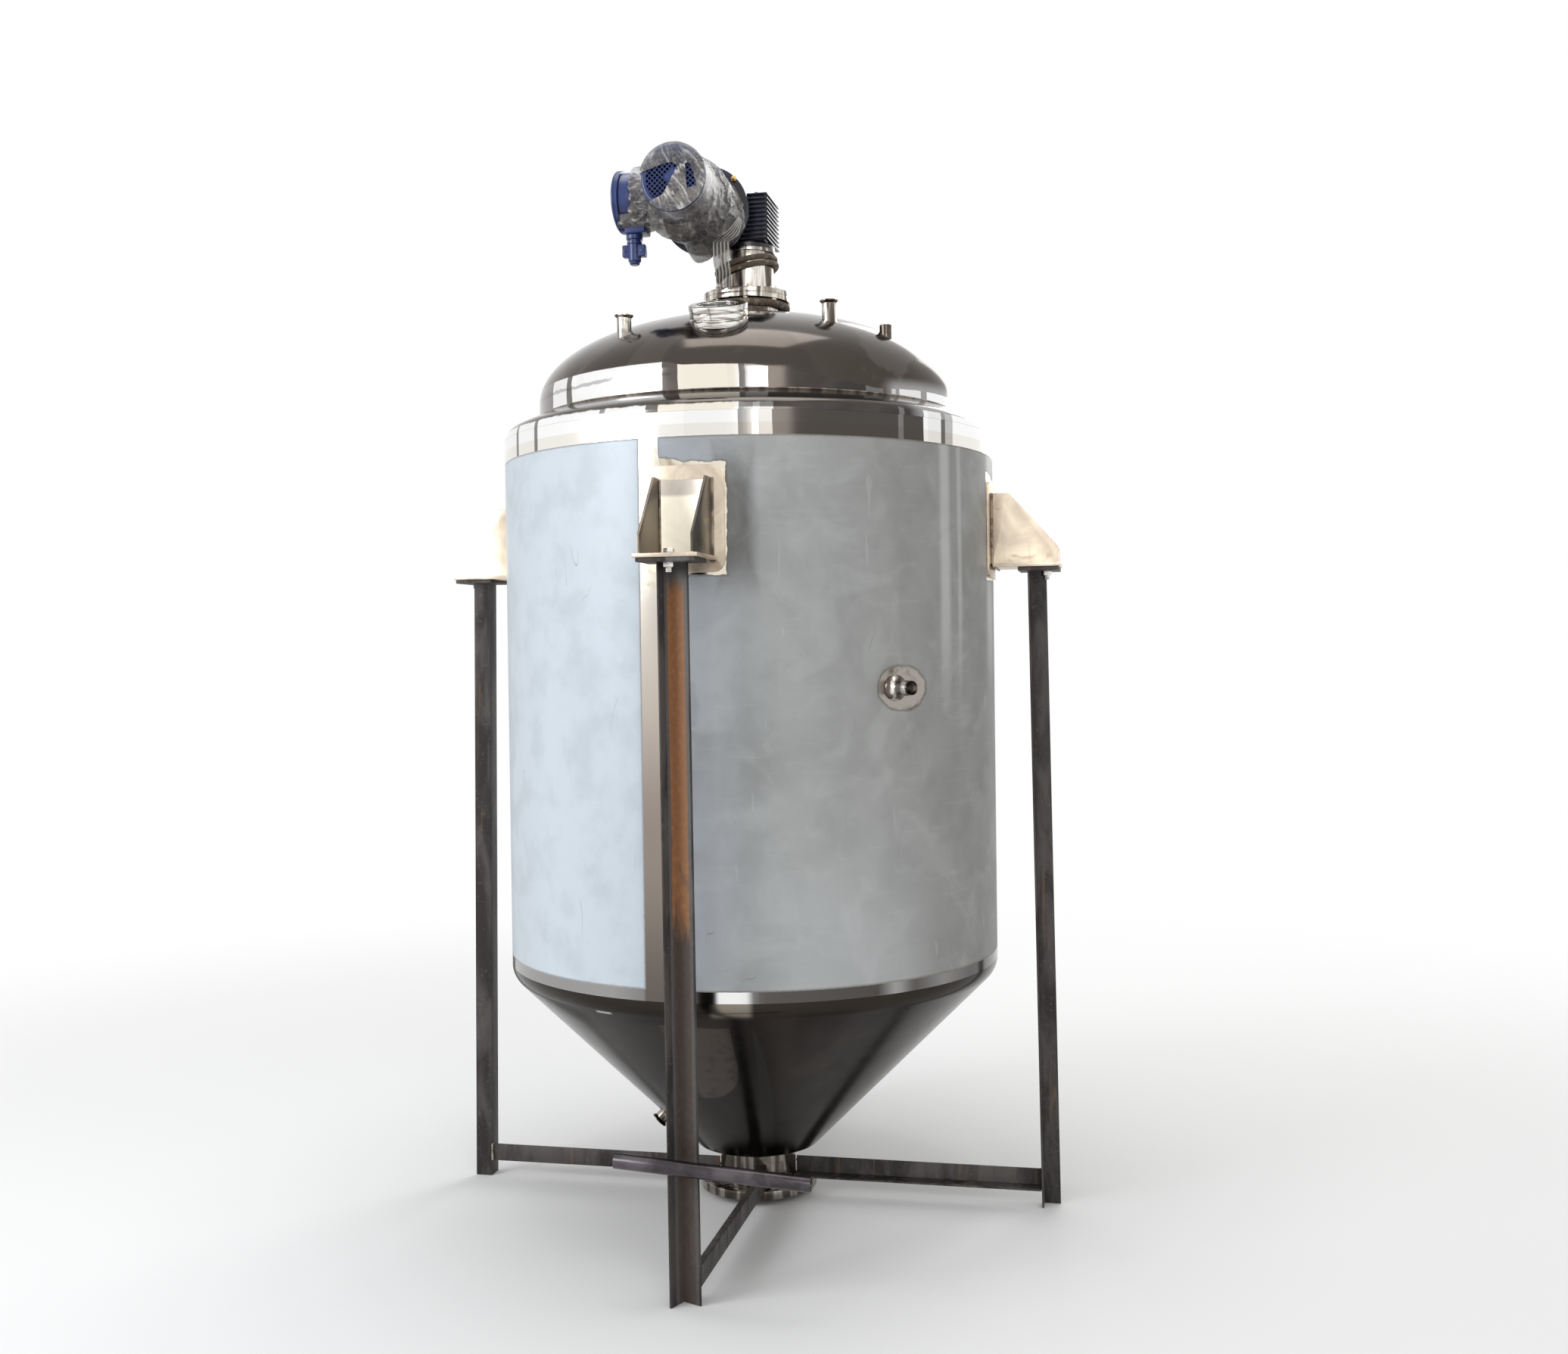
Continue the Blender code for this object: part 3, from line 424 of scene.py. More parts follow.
# %% [markdown]
# ## Geometry Nodes for what repeats
# Bolts, gearbox fins, grille bars, rope strands and weld ripples follow a count or a
# path. Each gets a small tree with named inputs, and its result is made a plain mesh.


# %% Geometry Nodes helpers
class Grower:
    """A Geometry Nodes tree with named number inputs and one mesh output."""

    def __init__(self, name, **inputs):
        self.tree = bpy.data.node_groups.new(name, "GeometryNodeTree")
        face = self.tree.interface
        face.new_socket("Geometry", in_out="OUTPUT", socket_type="NodeSocketGeometry")
        self.identifiers = {}
        for key, value in inputs.items():
            kind = "NodeSocketInt" if isinstance(value, int) else "NodeSocketFloat"
            socket = face.new_socket(key, in_out="INPUT", socket_type=kind)
            socket.default_value = value
            self.identifiers[key] = socket.identifier
        self.source = self.tree.nodes.new("NodeGroupInput")
        self.target = self.tree.nodes.new("NodeGroupOutput")

    def value(self, key):
        return self.source.outputs[key]

    def node(self, kind, settings=None, inputs=None, out=0):
        prefix = "" if kind.startswith("ShaderNode") else "GeometryNode"
        node = self.tree.nodes.new(prefix + kind)
        for key, value in (settings or {}).items():
            setattr(node, key, value)
        for key, value in (inputs or {}).items():
            if isinstance(value, bpy.types.NodeSocket):
                self.tree.links.new(value, node.inputs[key])
            else:
                node.inputs[key].default_value = value
        return node.outputs[out]

    def math(self, operation, first, second=0.0):
        return self.node("ShaderNodeMath", {"operation": operation}, {0: first, 1: second})

    def times(self, first, second):
        return self.math("MULTIPLY", first, second)

    def vector(self, x=0.0, y=0.0, z=0.0):
        return self.node("ShaderNodeCombineXYZ", {}, {0: x, 1: y, 2: z})

    def end(self, geometry, finish):
        """Realize the instances and set their material."""
        real = self.node("RealizeInstances", {}, {0: geometry})
        painted = self.node("SetMaterial", {}, {"Geometry": real, "Material": finish.material})
        self.tree.links.new(painted, self.target.inputs[0])

    def grow(self, name, **values):
        """Run the tree with these inputs and return the result as a plain object."""
        piece = bpy.data.objects.new(name, bpy.data.meshes.new(name))
        scene.collection.objects.link(piece)
        modifier = piece.modifiers.new("Grow", "NODES")
        modifier.node_group = self.tree
        for key, value in values.items():
            modifier[self.identifiers[key]] = value
        return applied(piece)


def join(name, parts):
    """One mesh object from several, which go."""
    bm = bmesh.new()
    for part in parts:
        bm.from_mesh(part.data)
        bpy.data.objects.remove(part)
    mesh = bpy.data.meshes.new(name)
    bm.to_mesh(mesh)
    bm.free()
    return bpy.data.objects.new(name, mesh)


print("Geometry Nodes helpers ready")

# %% [markdown]
# ## Bright stainless
# A factory hall mirrors in polished steel as pale window panes low on the head and
# knuckle and a dark roof above them. Plain studio light can't give that, so the panes
# are part of the finish: a pattern of the angle round the tank and of the height. It is
# fixed to the tank and doesn't follow the camera.


# %% Steel patterns
# heights of the joint of head and shoulder, the top of the shoulder's panes and the haze
HEAD_JOINT_Z, RIM_PANE_TOP, HAZE_Z = 2.2369, 2.186, 2.279
# where each span of angle starts, and how bright the hall's side mirrors there
RIM_PANES = [
    (-180, 0.9), (-142, 0.15), (-140.5, 0.95), (-132, 0.2), (-129.8, 1.0), (-122.2, 0.45), (-121.6, 1.0),
    (-110.6, 0.3), (-109.6, 1.0), (-99, 0.12), (-96.9, 1.0), (-91.1, 0.4), (-90.6, 0.95), (-79.6, 0.28),
    (-78.4, 0.5), (-77.6, 0.25), (-76, 0.42), (-75, 0.22), (-72.4, 0.03), (-43.6, 0.16), (-42.2, 0.03),
    (-37.6, 0.95), (-36.5, 0.08), (-35.5, 0.85), (-31, 0.1), (-29.9, 0.5), (-27.9, 1.0), (60, 0.06),
    (97, 0.8), (99, 0.1), (128, 0.95), (150, 0.25),
]
HEAD_PANES = [
    (-180, 0.12), (-140.5, 0.9), (-131, 0.1), (-128, 1.0), (-120, 0.6), (-119.6, 1.0), (-98.5, 0.06),
    (-95.5, 0.95), (-88.4, 0.5), (-88, 0.95), (-82.6, 0.5), (-82.2, 0.9), (-79.4, 0.12), (-78, 0.3),
    (-73, 0.02), (-47, 0.14), (-41.5, 0.05), (-38.5, 0.6), (-36.7, 0.1), (-36, 0.8), (-28, 0.1),
    (-26.6, 0.4), (-26, 0.1), (-24.5, 0.95), (-8, 0.4), (-5, 0.9), (58, 0.05), (96, 0.7), (99, 0.05),
    (126, 0.9), (151, 0.2), (154, 0.8),
]


def pane_light(finish, angle, panes):
    """How bright the mirrored windows are at an angle round the tank, 0 to 1."""
    spans = finish.ramp(angle / 360 + 0.5, [(start / 360 + 0.5, light) for start, light in panes])
    spans.output.node.color_ramp.interpolation = "CONSTANT"
    return spans


def make_crown_steel():
    """Head and shoulder: painted reflections of a brown-grey roof above and of window panes low down."""
    steel = Finish("crown_steel", metallic=1.0)
    angle = steel.turn()
    broad = steel.noise(2.2, 4.0, distortion=1.2)
    fine = steel.noise(16.0, 3.0)
    ragged = steel.noise(45.0, 3.0) - 0.5
    wobble = broad - 0.5
    lean = angle + (steel.z - 2.20) * 30 * wobble + wobble * 1.5

    # the head's panes stand taller on the left than on the right
    rise = steel.ramp(
        angle / 360 + 0.5,
        [
            (0.05, 0.72), (0.23, 0.75), (0.24, 0.64), (0.29, 0.60), (0.38, 0.12), (0.42, 0.22),
            (0.5, 0.32), (0.8, 0.6),
        ],
        smooth=False,
    )
    above = steel.z - HEAD_JOINT_Z - rise * 0.1 + ragged * 0.002
    head_band = above.fade(0.0015, -0.0015) * steel.z.fade(HEAD_JOINT_Z - 0.001, HEAD_JOINT_Z + 0.001)
    # a painted glow of reflected light on the right, fading out above the head's band
    glow = above.fade(0.035, 0.0) * angle.fade(-42.0, -36.0) * 0.30
    haze = (steel.z - HAZE_Z + ragged * 0.012 + wobble * 0.02).size().fade(0.0055, 0.003) * 0.45
    head_light = pane_light(steel, lean, HEAD_PANES) * head_band * (1 - haze * angle.fade(-95.0, -97.0))
    rim_band = (steel.z - RIM_PANE_TOP + ragged * 0.008 + wobble * 0.008).fade(0.003, -0.002)
    rim_light = pane_light(steel, lean, RIM_PANES) * rim_band

    # the painted reflection of the roof is brown-grey, in big soft-edged fields that darken to the right
    field = steel.noise(1.3, 2.0, distortion=1.6)
    roof = steel.ramp(
        angle / 360 + 0.5,
        [
            (0.08, (0.118, 0.100, 0.088)), (0.28, (0.096, 0.083, 0.073)), (0.36, (0.070, 0.059, 0.050)),
            (0.47, (0.062, 0.052, 0.044)), (0.75, (0.100, 0.087, 0.076)),
        ],
        smooth=False,
    )
    roof = steel.mix(field.fade(0.50, 0.53) * 0.45, roof, (0.058, 0.049, 0.042))
    roof = steel.mix(broad.fade(0.60, 0.63) * 0.35, roof, (0.160, 0.142, 0.128))
    roof = steel.mix(fine.fade(0.60, 0.75) * 0.15, roof, (0.19, 0.17, 0.15))
    # a painted reflection of a dark wall, which shows in the low bands on the right
    wall = steel.mix(broad.fade(0.42, 0.58), (0.030, 0.025, 0.022), (0.062, 0.052, 0.045))
    low = head_band.highest(rim_band) * angle.fade(-100.0, -76.0)
    color = steel.mix(low, roof, wall)
    cream = (angle + 88).size().fade(9.5, 7.5)
    pane_color = steel.mix(cream, (0.955, 0.955, 0.955), (0.93, 0.88, 0.76))
    pane_color = steel.mix(fine.fade(0.50, 0.75) * 0.35, pane_color, (0.80, 0.77, 0.71))
    color = steel.mix(head_light.highest(rim_light).highest(glow), color, pane_color)
    steel.feed(base_color=color, roughness=0.09 + fine * 0.10)
    steel.feed(normal=steel.bump(steel.noise(5.0, 2.0), 0.002, 0.25))
    return steel


def make_cone_steel():
    """The cone's colour is a painted reflection of a dark floor under it, with paler painted reflections
    of what stands there.
    """
    steel = Finish("cone_steel", metallic=1.0)
    angle = steel.turn()
    broad = steel.noise(2.6, 4.0, distortion=0.8)
    streak = steel.noise(3.0, 4.0, stretch=(1.0, 1.0, 0.25), distortion=0.6)
    fine = steel.noise(30.0, 3.0)
    wobble = broad - 0.5
    color = steel.mix(broad.fade(0.35, 0.7), (0.022, 0.017, 0.014), (0.042, 0.034, 0.029))
    color = steel.mix(streak.fade(0.56, 0.66) * 0.35, color, (0.070, 0.060, 0.052))
    # painted reflections: a pale shield beside the front leg and a dim wedge to the right of it
    sweep = (angle + 96 + wobble * 3) / 13.5
    drop = (0.465 - steel.z).highest(0.0) / 0.09
    shield = (sweep * sweep + drop * drop).fade(1.06, 0.97) * angle.fade(-100.0, -97.0)
    shield = shield * (steel.z + wobble * 0.02).fade(0.628, 0.622)
    shield_color = steel.mix(fine.fade(0.5, 0.7), (0.115, 0.094, 0.081), (0.080, 0.064, 0.055))
    color = steel.mix(shield * 0.9, color, shield_color)
    wedge = (angle + 77.5 - (0.62 - steel.z) * 16).size() - (0.63 - steel.z) * 9
    color = steel.mix(wedge.fade(0.5, -0.2) * steel.z.fade(0.64, 0.61) * 0.7, color, (0.062, 0.056, 0.052))
    # a painted reflection along the rim at the top, bright near the front, and a small painted highlight
    rim = (steel.z + wobble * 0.012).fade(0.650, 0.668)
    rim_color = steel.mix((angle + 82).size().fade(5.0, 3.2), (0.040, 0.034, 0.029), (0.32, 0.28, 0.23))
    color = steel.mix(rim * 0.8, color, rim_color)
    spot = ((angle + 112) / 2.4).size().highest(((steel.z - 0.648) / 0.004).size())
    color = steel.mix(spot.fade(1.0, 0.7), color, (0.55, 0.53, 0.50))
    steel.feed(base_color=color, roughness=0.15 + fine * 0.10)
    steel.feed(normal=steel.bump(steel.noise(6.0, 2.0), 0.002, 0.3))
    return steel


crown_steel = make_crown_steel()
cone_steel = make_cone_steel()
print("Steel", crown_steel.material.name, cone_steel.material.name)

# %% [markdown]
# ## The cladding and its protective film
# The shell is sold with a thin film on it. The fitter has peeled it along the vertical
# seam, round the lugs and nozzle and at both rims, so bare steel shows there with a
# dirty, torn edge. The film is a tenth of a millimetre thick, so it is a mask in the
# finish and not a piece of its own.

# %% Cladding finish
FILM_TOP, FILM_BOTTOM = 2.106, 0.723
SEAM_ANGLES = (-100.0, -95.8)
NOZZLE_ANGLE, NOZZLE_Z = -43.5, 1.472
# metres along the cladding for a degree of turn, and the middle height of the lug pads
DEGREE_RUN, PAD_MIDDLE_Z = 0.0122, 1.9
# half the width and height of the peeled place round a pad, then the radius of the peeled
# disc round the nozzle and how much wider than tall it is
PEELED_HALF_WIDTH, PEELED_HALF_HEIGHT = 0.103, 0.139
PEELED_DISC_R, DISC_STRETCH = 0.058, 1.32


def make_clad_finish():
    """Bare bright steel with a mask of thin film over it."""
    clad = Finish("filmed_cladding")
    clad.shader.inputs["Specular IOR Level"].default_value = 0.22
    angle = clad.turn()
    broad = clad.noise(1.6, 4.0, distortion=0.5)
    mottle = clad.noise(9.0, 4.0)
    ragged = clad.noise(26.0, 4.0) - 0.5
    tear = clad.noise(90.0, 3.0) - 0.5
    fibre = clad.noise(7.0, 5.0, stretch=(1.0, 1.0, 9.0))
    wobble = broad - 0.5

    # how far inside the film a point is, in metres, for each peeled place
    top = FILM_TOP - clad.z + tear * 0.002
    bottom = clad.z - FILM_BOTTOM + tear * 0.002
    middle, half = sum(SEAM_ANGLES) / 2, (SEAM_ANGLES[1] - SEAM_ANGLES[0]) / 2
    seam = ((angle - middle).size() - half) * DEGREE_RUN + tear * 0.002
    across = (angle - NOZZLE_ANGLE) * DEGREE_RUN / DISC_STRETCH
    up = clad.z - NOZZLE_Z
    disc = (across * across + up * up).root() - PEELED_DISC_R + ragged * 0.022
    inside = top.lowest(bottom).lowest(seam).lowest(disc)
    for lug_angle in (-90.0, 0.0, 90.0):
        inside = inside.lowest(lug_clearing(clad, angle, lug_angle, ragged))
    wrapped = 180 - angle.size()
    inside = inside.lowest(lug_clearing(clad, wrapped, 0.0, ragged))
    film = inside.fade(0.0, 0.0012)
    grime = inside.fade(0.007, 0.001) * film

    # the film, with painted light and shade: bluish white on the left where the daylight falls, greyer
    # round to the right
    turn = angle / 360 + 0.5
    tone = clad.ramp(
        turn,
        [
            (0.0, (0.54, 0.59, 0.64)),
            (0.08, (0.50, 0.55, 0.60)),
            (0.15, (0.58, 0.64, 0.70)),
            (0.218, (0.56, 0.62, 0.68)),
            (0.235, (0.36, 0.385, 0.43)),
            (0.262, (0.36, 0.38, 0.405)),
            (0.30, (0.39, 0.40, 0.40)),
            (0.36, (0.36, 0.365, 0.36)),
            (0.42, (0.29, 0.29, 0.28)),
            (0.50, (0.23, 0.23, 0.22)),
            (0.70, (0.38, 0.39, 0.39)),
            (1.0, (0.54, 0.59, 0.64)),
        ],
        smooth=False,
    )
    drift = clad.noise(3.2, 5.0, distortion=0.8)
    tone = clad.mix(drift.fade(0.40, 0.66) * 0.30 * angle.fade(-98.0, -92.0), tone, (0.25, 0.255, 0.245))
    tone = clad.mix(mottle.fade(0.42, 0.70) * 0.24, tone, (0.55, 0.56, 0.54), "MULTIPLY")
    tone = clad.mix(fibre.fade(0.55, 0.70) * 0.05, tone, (0.70, 0.72, 0.73))
    tone = clad.mix(clad.spots(21.0, 0.035) * 0.5, tone, (0.12, 0.11, 0.10))
    # soft upright painted reflections of two columns, and a darker patch beside the front pad
    upper = clad.z.fade(1.35, 1.75)
    for at, half_width, strength in (
        (-30.0, 1.6, 0.38), (-24.5, 0.8, 0.28), (-5.0, 3.0, 0.5), (152.0, 3.0, 0.35),
    ):
        streak = (angle - at + wobble * 2).size().fade(half_width * 1.6, half_width * 0.4)
        tone = clad.mix(streak * upper * strength, tone, (0.74, 0.75, 0.74))
    beside_pad = ((angle + 79.5 + wobble * 6) / 4.2).size()
    along_pad = ((clad.z - PAD_MIDDLE_Z + ragged * 0.05) / 0.17).size()
    smudge = beside_pad.highest(along_pad).fade(1.25, 0.45)
    tone = clad.mix(smudge * 0.8, tone, (0.12, 0.118, 0.112))
    cloudy = clad.noise(5.5, 5.0, distortion=1.4)
    tone = clad.mix(cloudy.fade(0.48, 0.68) * 0.15 * angle.fade(-98.0, -92.0), tone, (0.62, 0.64, 0.64))
    low_right = clad.z.fade(1.25, 0.80) * (angle + 58).size().fade(26.0, 8.0)
    tone = clad.mix(low_right * 0.28, tone, (0.62, 0.65, 0.68))
    scratch = clad.noise(34.0, 2.0, stretch=(1.0, 1.0, 0.12), distortion=0.4)
    tone = clad.mix(scratch.fade(0.71, 0.73) * 0.14, tone, (0.70, 0.72, 0.73))
    scribe = (
        clad.noise(5.0, 1.0, stretch=(2.6, 2.6, 0.5), distortion=0.5) - 0.5
    ).size().fade(0.0022, 0.0008)
    scribe = scribe * clad.noise(6.0, 1.0).fade(0.64, 0.68)
    tone = clad.mix(scribe * 0.55, tone, (0.14, 0.14, 0.14))
    tone = clad.mix(grime * 0.65, tone, (0.16, 0.13, 0.10))

    # the bare steel under it, coloured with painted reflections of the hall's windows and of darker
    # surroundings
    panes = pane_light(clad, angle + wobble * 1.5, RIM_PANES)
    high = clad.z.fade(1.2, 1.4)
    foot = clad.ramp(
        angle / 360 + 0.5,
        [
            (0.02, 0.20), (0.06, 0.34), (0.20, 0.30), (0.252, 0.05), (0.262, 0.05), (0.264, 0.92),
            (0.281, 0.92), (0.284, 0.20), (0.290, 0.06), (0.36, 0.04), (0.372, 0.34), (0.385, 0.06),
            (0.41, 0.22), (0.44, 0.06), (0.6, 0.2),
        ],
        smooth=False,
    )
    panes = panes * high + foot * (1 - high)
    step = clad.z.fade(2.138, 2.134) * high * 0.8
    bright = clad.mix(step, (0.955, 0.955, 0.95), (0.84, 0.81, 0.74))
    bare = clad.mix(panes, (0.050, 0.042, 0.036), bright)
    # along the seam the bare steel darkens towards the bottom
    seam_zone = ((angle - middle).size() - half).fade(0.6, 0.0)
    warm = clad.ramp(
        clad.z / 2.2,
        [
            (0.30, (0.13, 0.115, 0.10)), (0.50, (0.30, 0.255, 0.22)), (0.72, (0.60, 0.54, 0.48)),
            (0.90, (0.93, 0.92, 0.89)),
        ],
    )
    bare = clad.mix(seam_zone, bare, warm)
    heat = clad.noise(12.0, 4.0, distortion=1.0).fade(0.52, 0.72)
    near_pads = (clad.z - PAD_MIDDLE_Z).size().fade(0.20, 0.15)
    bare = clad.mix(near_pads * 0.85, bare, clad.mix(heat, (0.80, 0.74, 0.62), (0.42, 0.32, 0.21)))
    near_disc = disc.fade(0.004, -0.004)
    bare = clad.mix(near_disc, bare, clad.mix(heat, (0.36, 0.33, 0.30), (0.12, 0.10, 0.085)))
    color = clad.mix(film, bare, tone)
    clad.feed(base_color=color, metallic=1 - film * 0.92)
    clad.feed(roughness=0.12 + film * 0.26 + mottle * 0.08)
    lifted = film * 0.4 + mottle * 0.2 + drift * 0.5 + fibre * 0.02
    clad.feed(normal=clad.bump(lifted, 0.0012, 0.3))
    return clad


def lug_clearing(clad, angle, lug_angle, ragged):
    """Distance into the film from the peeled rectangle round a lug's pad."""
    across = (angle - lug_angle).size() * DEGREE_RUN - PEELED_HALF_WIDTH
    up = (clad.z - PAD_MIDDLE_Z).size() - PEELED_HALF_HEIGHT
    torn = (clad.z - PAD_MIDDLE_Z).fade(0.10, 0.14) * (angle - lug_angle).fade(1.0, -6.5) * 0.016
    return across.highest(up - torn) + ragged * 0.020


filmed_cladding = make_clad_finish()
print("Cladding finish ready")

# %% [markdown]
# ## The vessel
# Cladding, shoulder, head and cone are turned with many more steps than the model needs
# for physics, because facets would show at once in a mirror finish.

# %% Vessel
SHELL_R, VESSEL_R, INNER_R = 0.700, 0.600, 0.594
ROUND_STEPS = 256
GAP = 0.0003
wall_low, wall_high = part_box("wall_front")[0].z, 2.1675
shoulder_low, shoulder_high = wall_high + GAP, HEAD_JOINT_Z
head_low, head_high = shoulder_high + GAP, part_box("dished_head")[1].z
cone_low, cone_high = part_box("cone_bottom")[0].z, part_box("cone_bottom")[1].z
HEAD_DEPTH, HEAD_WALL = 0.250, 0.006
HEAD_TANGENT = head_high - HEAD_DEPTH
SHOULDER_KNUCKLE, SHOULDER_SLOPE = 0.037, 24.5
CONE_KNUCKLE, CONE_SLOPE = 0.060, 45.6
JACKET_END_R, OUTLET_NECK_R = 0.170, 0.1095

cladding = lathe(
    "cladding",
    [(INNER_R, wall_low), (SHELL_R, wall_low), (SHELL_R, wall_high), (INNER_R, wall_high)],
    ROUND_STEPS,
)
hand_over(cladding, filmed_cladding, "filmed_steel", "wall_front", "wall_right", "wall_rear", "wall_left")

knuckle = arc(SHELL_R - SHOULDER_KNUCKLE, shoulder_low, SHOULDER_KNUCKLE, 0, 90 - SHOULDER_SLOPE, 14)
shoulder = lathe(
    "shoulder",
    [(INNER_R, shoulder_low)] + knuckle + [(VESSEL_R, shoulder_high), (INNER_R, shoulder_high)],
    ROUND_STEPS,
)
hand_over(shoulder, crown_steel, "polished_steel", "shoulder_ring")


def head_half(radius, depth, count=44):
    """A quarter of an ellipse, from rim to crown, as (radius, height)."""
    return [
        (
            radius * math.cos(math.pi / 2 * i / count),
            HEAD_TANGENT + depth * math.sin(math.pi / 2 * i / count),
        )
        for i in range(count)
    ] + [(0.0, HEAD_TANGENT + depth)]


outer = head_half(VESSEL_R, HEAD_DEPTH)
inner = head_half(INNER_R, HEAD_DEPTH - HEAD_WALL)
head = lathe("head", [(INNER_R, head_low), (VESSEL_R, head_low)] + outer + inner[::-1], ROUND_STEPS)
hand_over(head, crown_steel, "polished_steel", "dished_head")

lower = arc(SHELL_R - CONE_KNUCKLE, cone_high, CONE_KNUCKLE, 0, -CONE_SLOPE, 14)
slope = math.tan(math.radians(CONE_SLOPE))
jacket_end_z = lower[-1][1] - (lower[-1][0] - JACKET_END_R) / slope
hole = OUTLET_NECK_R + GAP
inner_z = cone_high - (INNER_R - hole) / slope
cone = lathe(
    "cone",
    lower
    + arc(JACKET_END_R + 0.004, jacket_end_z + 0.004, 0.0055, -45, -75, 3)
    + [(hole, cone_low), (hole, inner_z), (INNER_R, cone_high)],
    ROUND_STEPS,
)
hand_over(cone, cone_steel, "polished_steel", "cone_bottom")
print("Vessel from", round(cone_low, 3), "to", round(head_high, 3))

# %% [markdown]
# ## Weld beads
# A hand-laid bead is a row of overlapping ripples. A tree walks a path, sets a flat
# scale on every step and leans each one along the path.

# %% Weld beads
def make_bead_tree(finish):
    tree = Grower("weld_bead", Spacing=0.0028, Width=0.0035)
    path = tree.node("ObjectInfo", {"transform_space": "ORIGINAL"})
    tree.path_node = path.node
    curve = tree.node("MeshToCurve", {}, {0: path.node.outputs["Geometry"]})
    points = tree.node(
        "CurveToPoints", {"mode": "LENGTH"}, {"Curve": curve, "Length": tree.value("Spacing")}
    )
    ripple = tree.node("MeshUVSphere", {}, {"Segments": 8, "Rings": 5, "Radius": 1.0})
    spin = points.node.outputs["Rotation"]
    size = tree.vector(tree.value("Width"), tree.value("Width"), tree.value("Spacing"))
    placed = tree.node(
        "InstanceOnPoints", {}, {"Points": points, "Instance": ripple, "Rotation": spin, "Scale": size}
    )
    tree.end(placed, finish)
    return tree


bead_steel = Finish("weld_bead_steel", metallic=1.0)
bead_tint = bead_steel.noise(40.0, 3.0)
bead_steel.feed(
    base_color=bead_steel.mix(bead_tint.fade(0.4, 0.65), (0.34, 0.29, 0.24), (0.12, 0.10, 0.09)),
    roughness=0.32,
)
bead_tree = make_bead_tree(bead_steel)


def bead_along(name, points, place, spacing, width):
    """Ripples along a line of points, which a frame puts in place, as one mesh."""
    mesh = bpy.data.meshes.new(name + "_path")
    placed = [tuple(place @ Vector(p)) for p in points]
    mesh.from_pydata(placed, [(i, i + 1) for i in range(len(placed) - 1)], [])
    path = bpy.data.objects.new(name + "_path", mesh)
    scene.collection.objects.link(path)
    bead_tree.path_node.inputs[0].default_value = path
    bead = bead_tree.grow(name, Spacing=spacing, Width=width)
    bpy.data.objects.remove(path)
    return bead


print("Bead tree", bead_tree.tree.name)

# %% [markdown]
# ## Pickled plate
# Lugs, pads and base plates are thicker plate. The welder has pickled them, which leaves
# a warm matt grey with straw and brown tints where the heat was.

# %% Plate finish
def make_plate_finish():
    plate = Finish("pickled_plate", metallic=1.0)
    cloud = plate.noise(7.0, 4.0, distortion=0.8)
    brush = plate.noise(60.0, 3.0, stretch=(1.0, 1.0, 0.1))
    color = plate.mix(cloud.fade(0.35, 0.65), (0.80, 0.70, 0.55), (0.54, 0.455, 0.365))
    color = plate.mix(brush.fade(0.55, 0.75) * 0.3, color, (0.38, 0.34, 0.29))
    stain = plate.noise(13.0, 5.0, distortion=1.5)
    # painted reflections and painted shade: the front lug mirrors a dark wall in its gussets and a window
    # in its back plate
    front = plate.y.fade(-0.7145, -0.7165) * plate.z.fade(1.8062, 1.8072) * plate.y.fade(-0.8870, -0.8850)
    gusset = (plate.x.size() - 0.0660).size().fade(0.0085, 0.0075) * front
    shaded = plate.mix(plate.z.fade(1.86, 1.97), (0.24, 0.205, 0.165), (0.080, 0.072, 0.066))
    shaded = plate.mix(plate.x.fade(-0.01, 0.01), shaded, (0.036, 0.033, 0.030))
    color = plate.mix(gusset * 0.9, color, shaded)
    back = plate.y.fade(-0.7120, -0.7132) * plate.y.fade(-0.7165, -0.7150)
    back = back * plate.x.size().fade(0.0600, 0.0590)
    window = plate.mix(plate.z.fade(1.950, 1.962), (0.97, 0.92, 0.77), (0.44, 0.41, 0.39))
    color = plate.mix(back * 0.8, color, window)
    color = plate.mix(stain.fade(0.60, 0.72) * 0.55, color, (0.28, 0.20, 0.13))
    plate.feed(base_color=color, roughness=0.30 + brush * 0.15)
    plate.feed(normal=plate.bump(brush * 0.5 + cloud, 0.0008, 0.4))
    return plate


def make_fitting_steel(name, shade):
    """Turned and polished fittings, with painted reflections of the hall in upright bars and level rings,
    darkened by the given share of painted shade.
    """
    steel = Finish(name, metallic=1.0)
    tint = steel.noise(22.0, 3.0, distortion=0.6)
    lines = steel.noise(60.0, 2.0, stretch=(0.3, 0.3, 6.0))
    bars = steel.noise(26.0, 2.0, stretch=(1.0, 1.0, 0.12), distortion=0.3)
    color = steel.ramp(
        bars,
        [
            (0.38, (0.085, 0.068, 0.055)), (0.47, (0.17, 0.145, 0.125)), (0.50, (0.46, 0.42, 0.37)),
            (0.56, (0.90, 0.87, 0.80)), (0.64, (0.50, 0.45, 0.38)),
        ],
        smooth=False,
    )
    color = steel.mix(tint.fade(0.50, 0.66) * 0.6, color, (0.15, 0.125, 0.105))
    color = steel.mix(shade, color, (0.085, 0.070, 0.058))
    steel.feed(base_color=color, roughness=0.12 + lines * 0.12)
    return steel


def make_ring_steel():
    """Turned rings with a bright face that shows painted reflections in level lines and a few dark upright
    bars.
    """
    steel = Finish("ring_steel", metallic=1.0)
    lines = steel.noise(70.0, 2.0, stretch=(0.25, 0.25, 3.0))
    side = steel.noise(20.0, 2.0, stretch=(1.0, 1.0, 0.1), distortion=0.3)
    color = steel.mix(lines.fade(0.40, 0.60), (0.42, 0.39, 0.35), (0.93, 0.92, 0.88))
    color = steel.mix(side.fade(0.56, 0.62) * 0.8, color, (0.10, 0.085, 0.075))
    steel.feed(base_color=color, roughness=0.10 + lines * 0.08)
    return steel


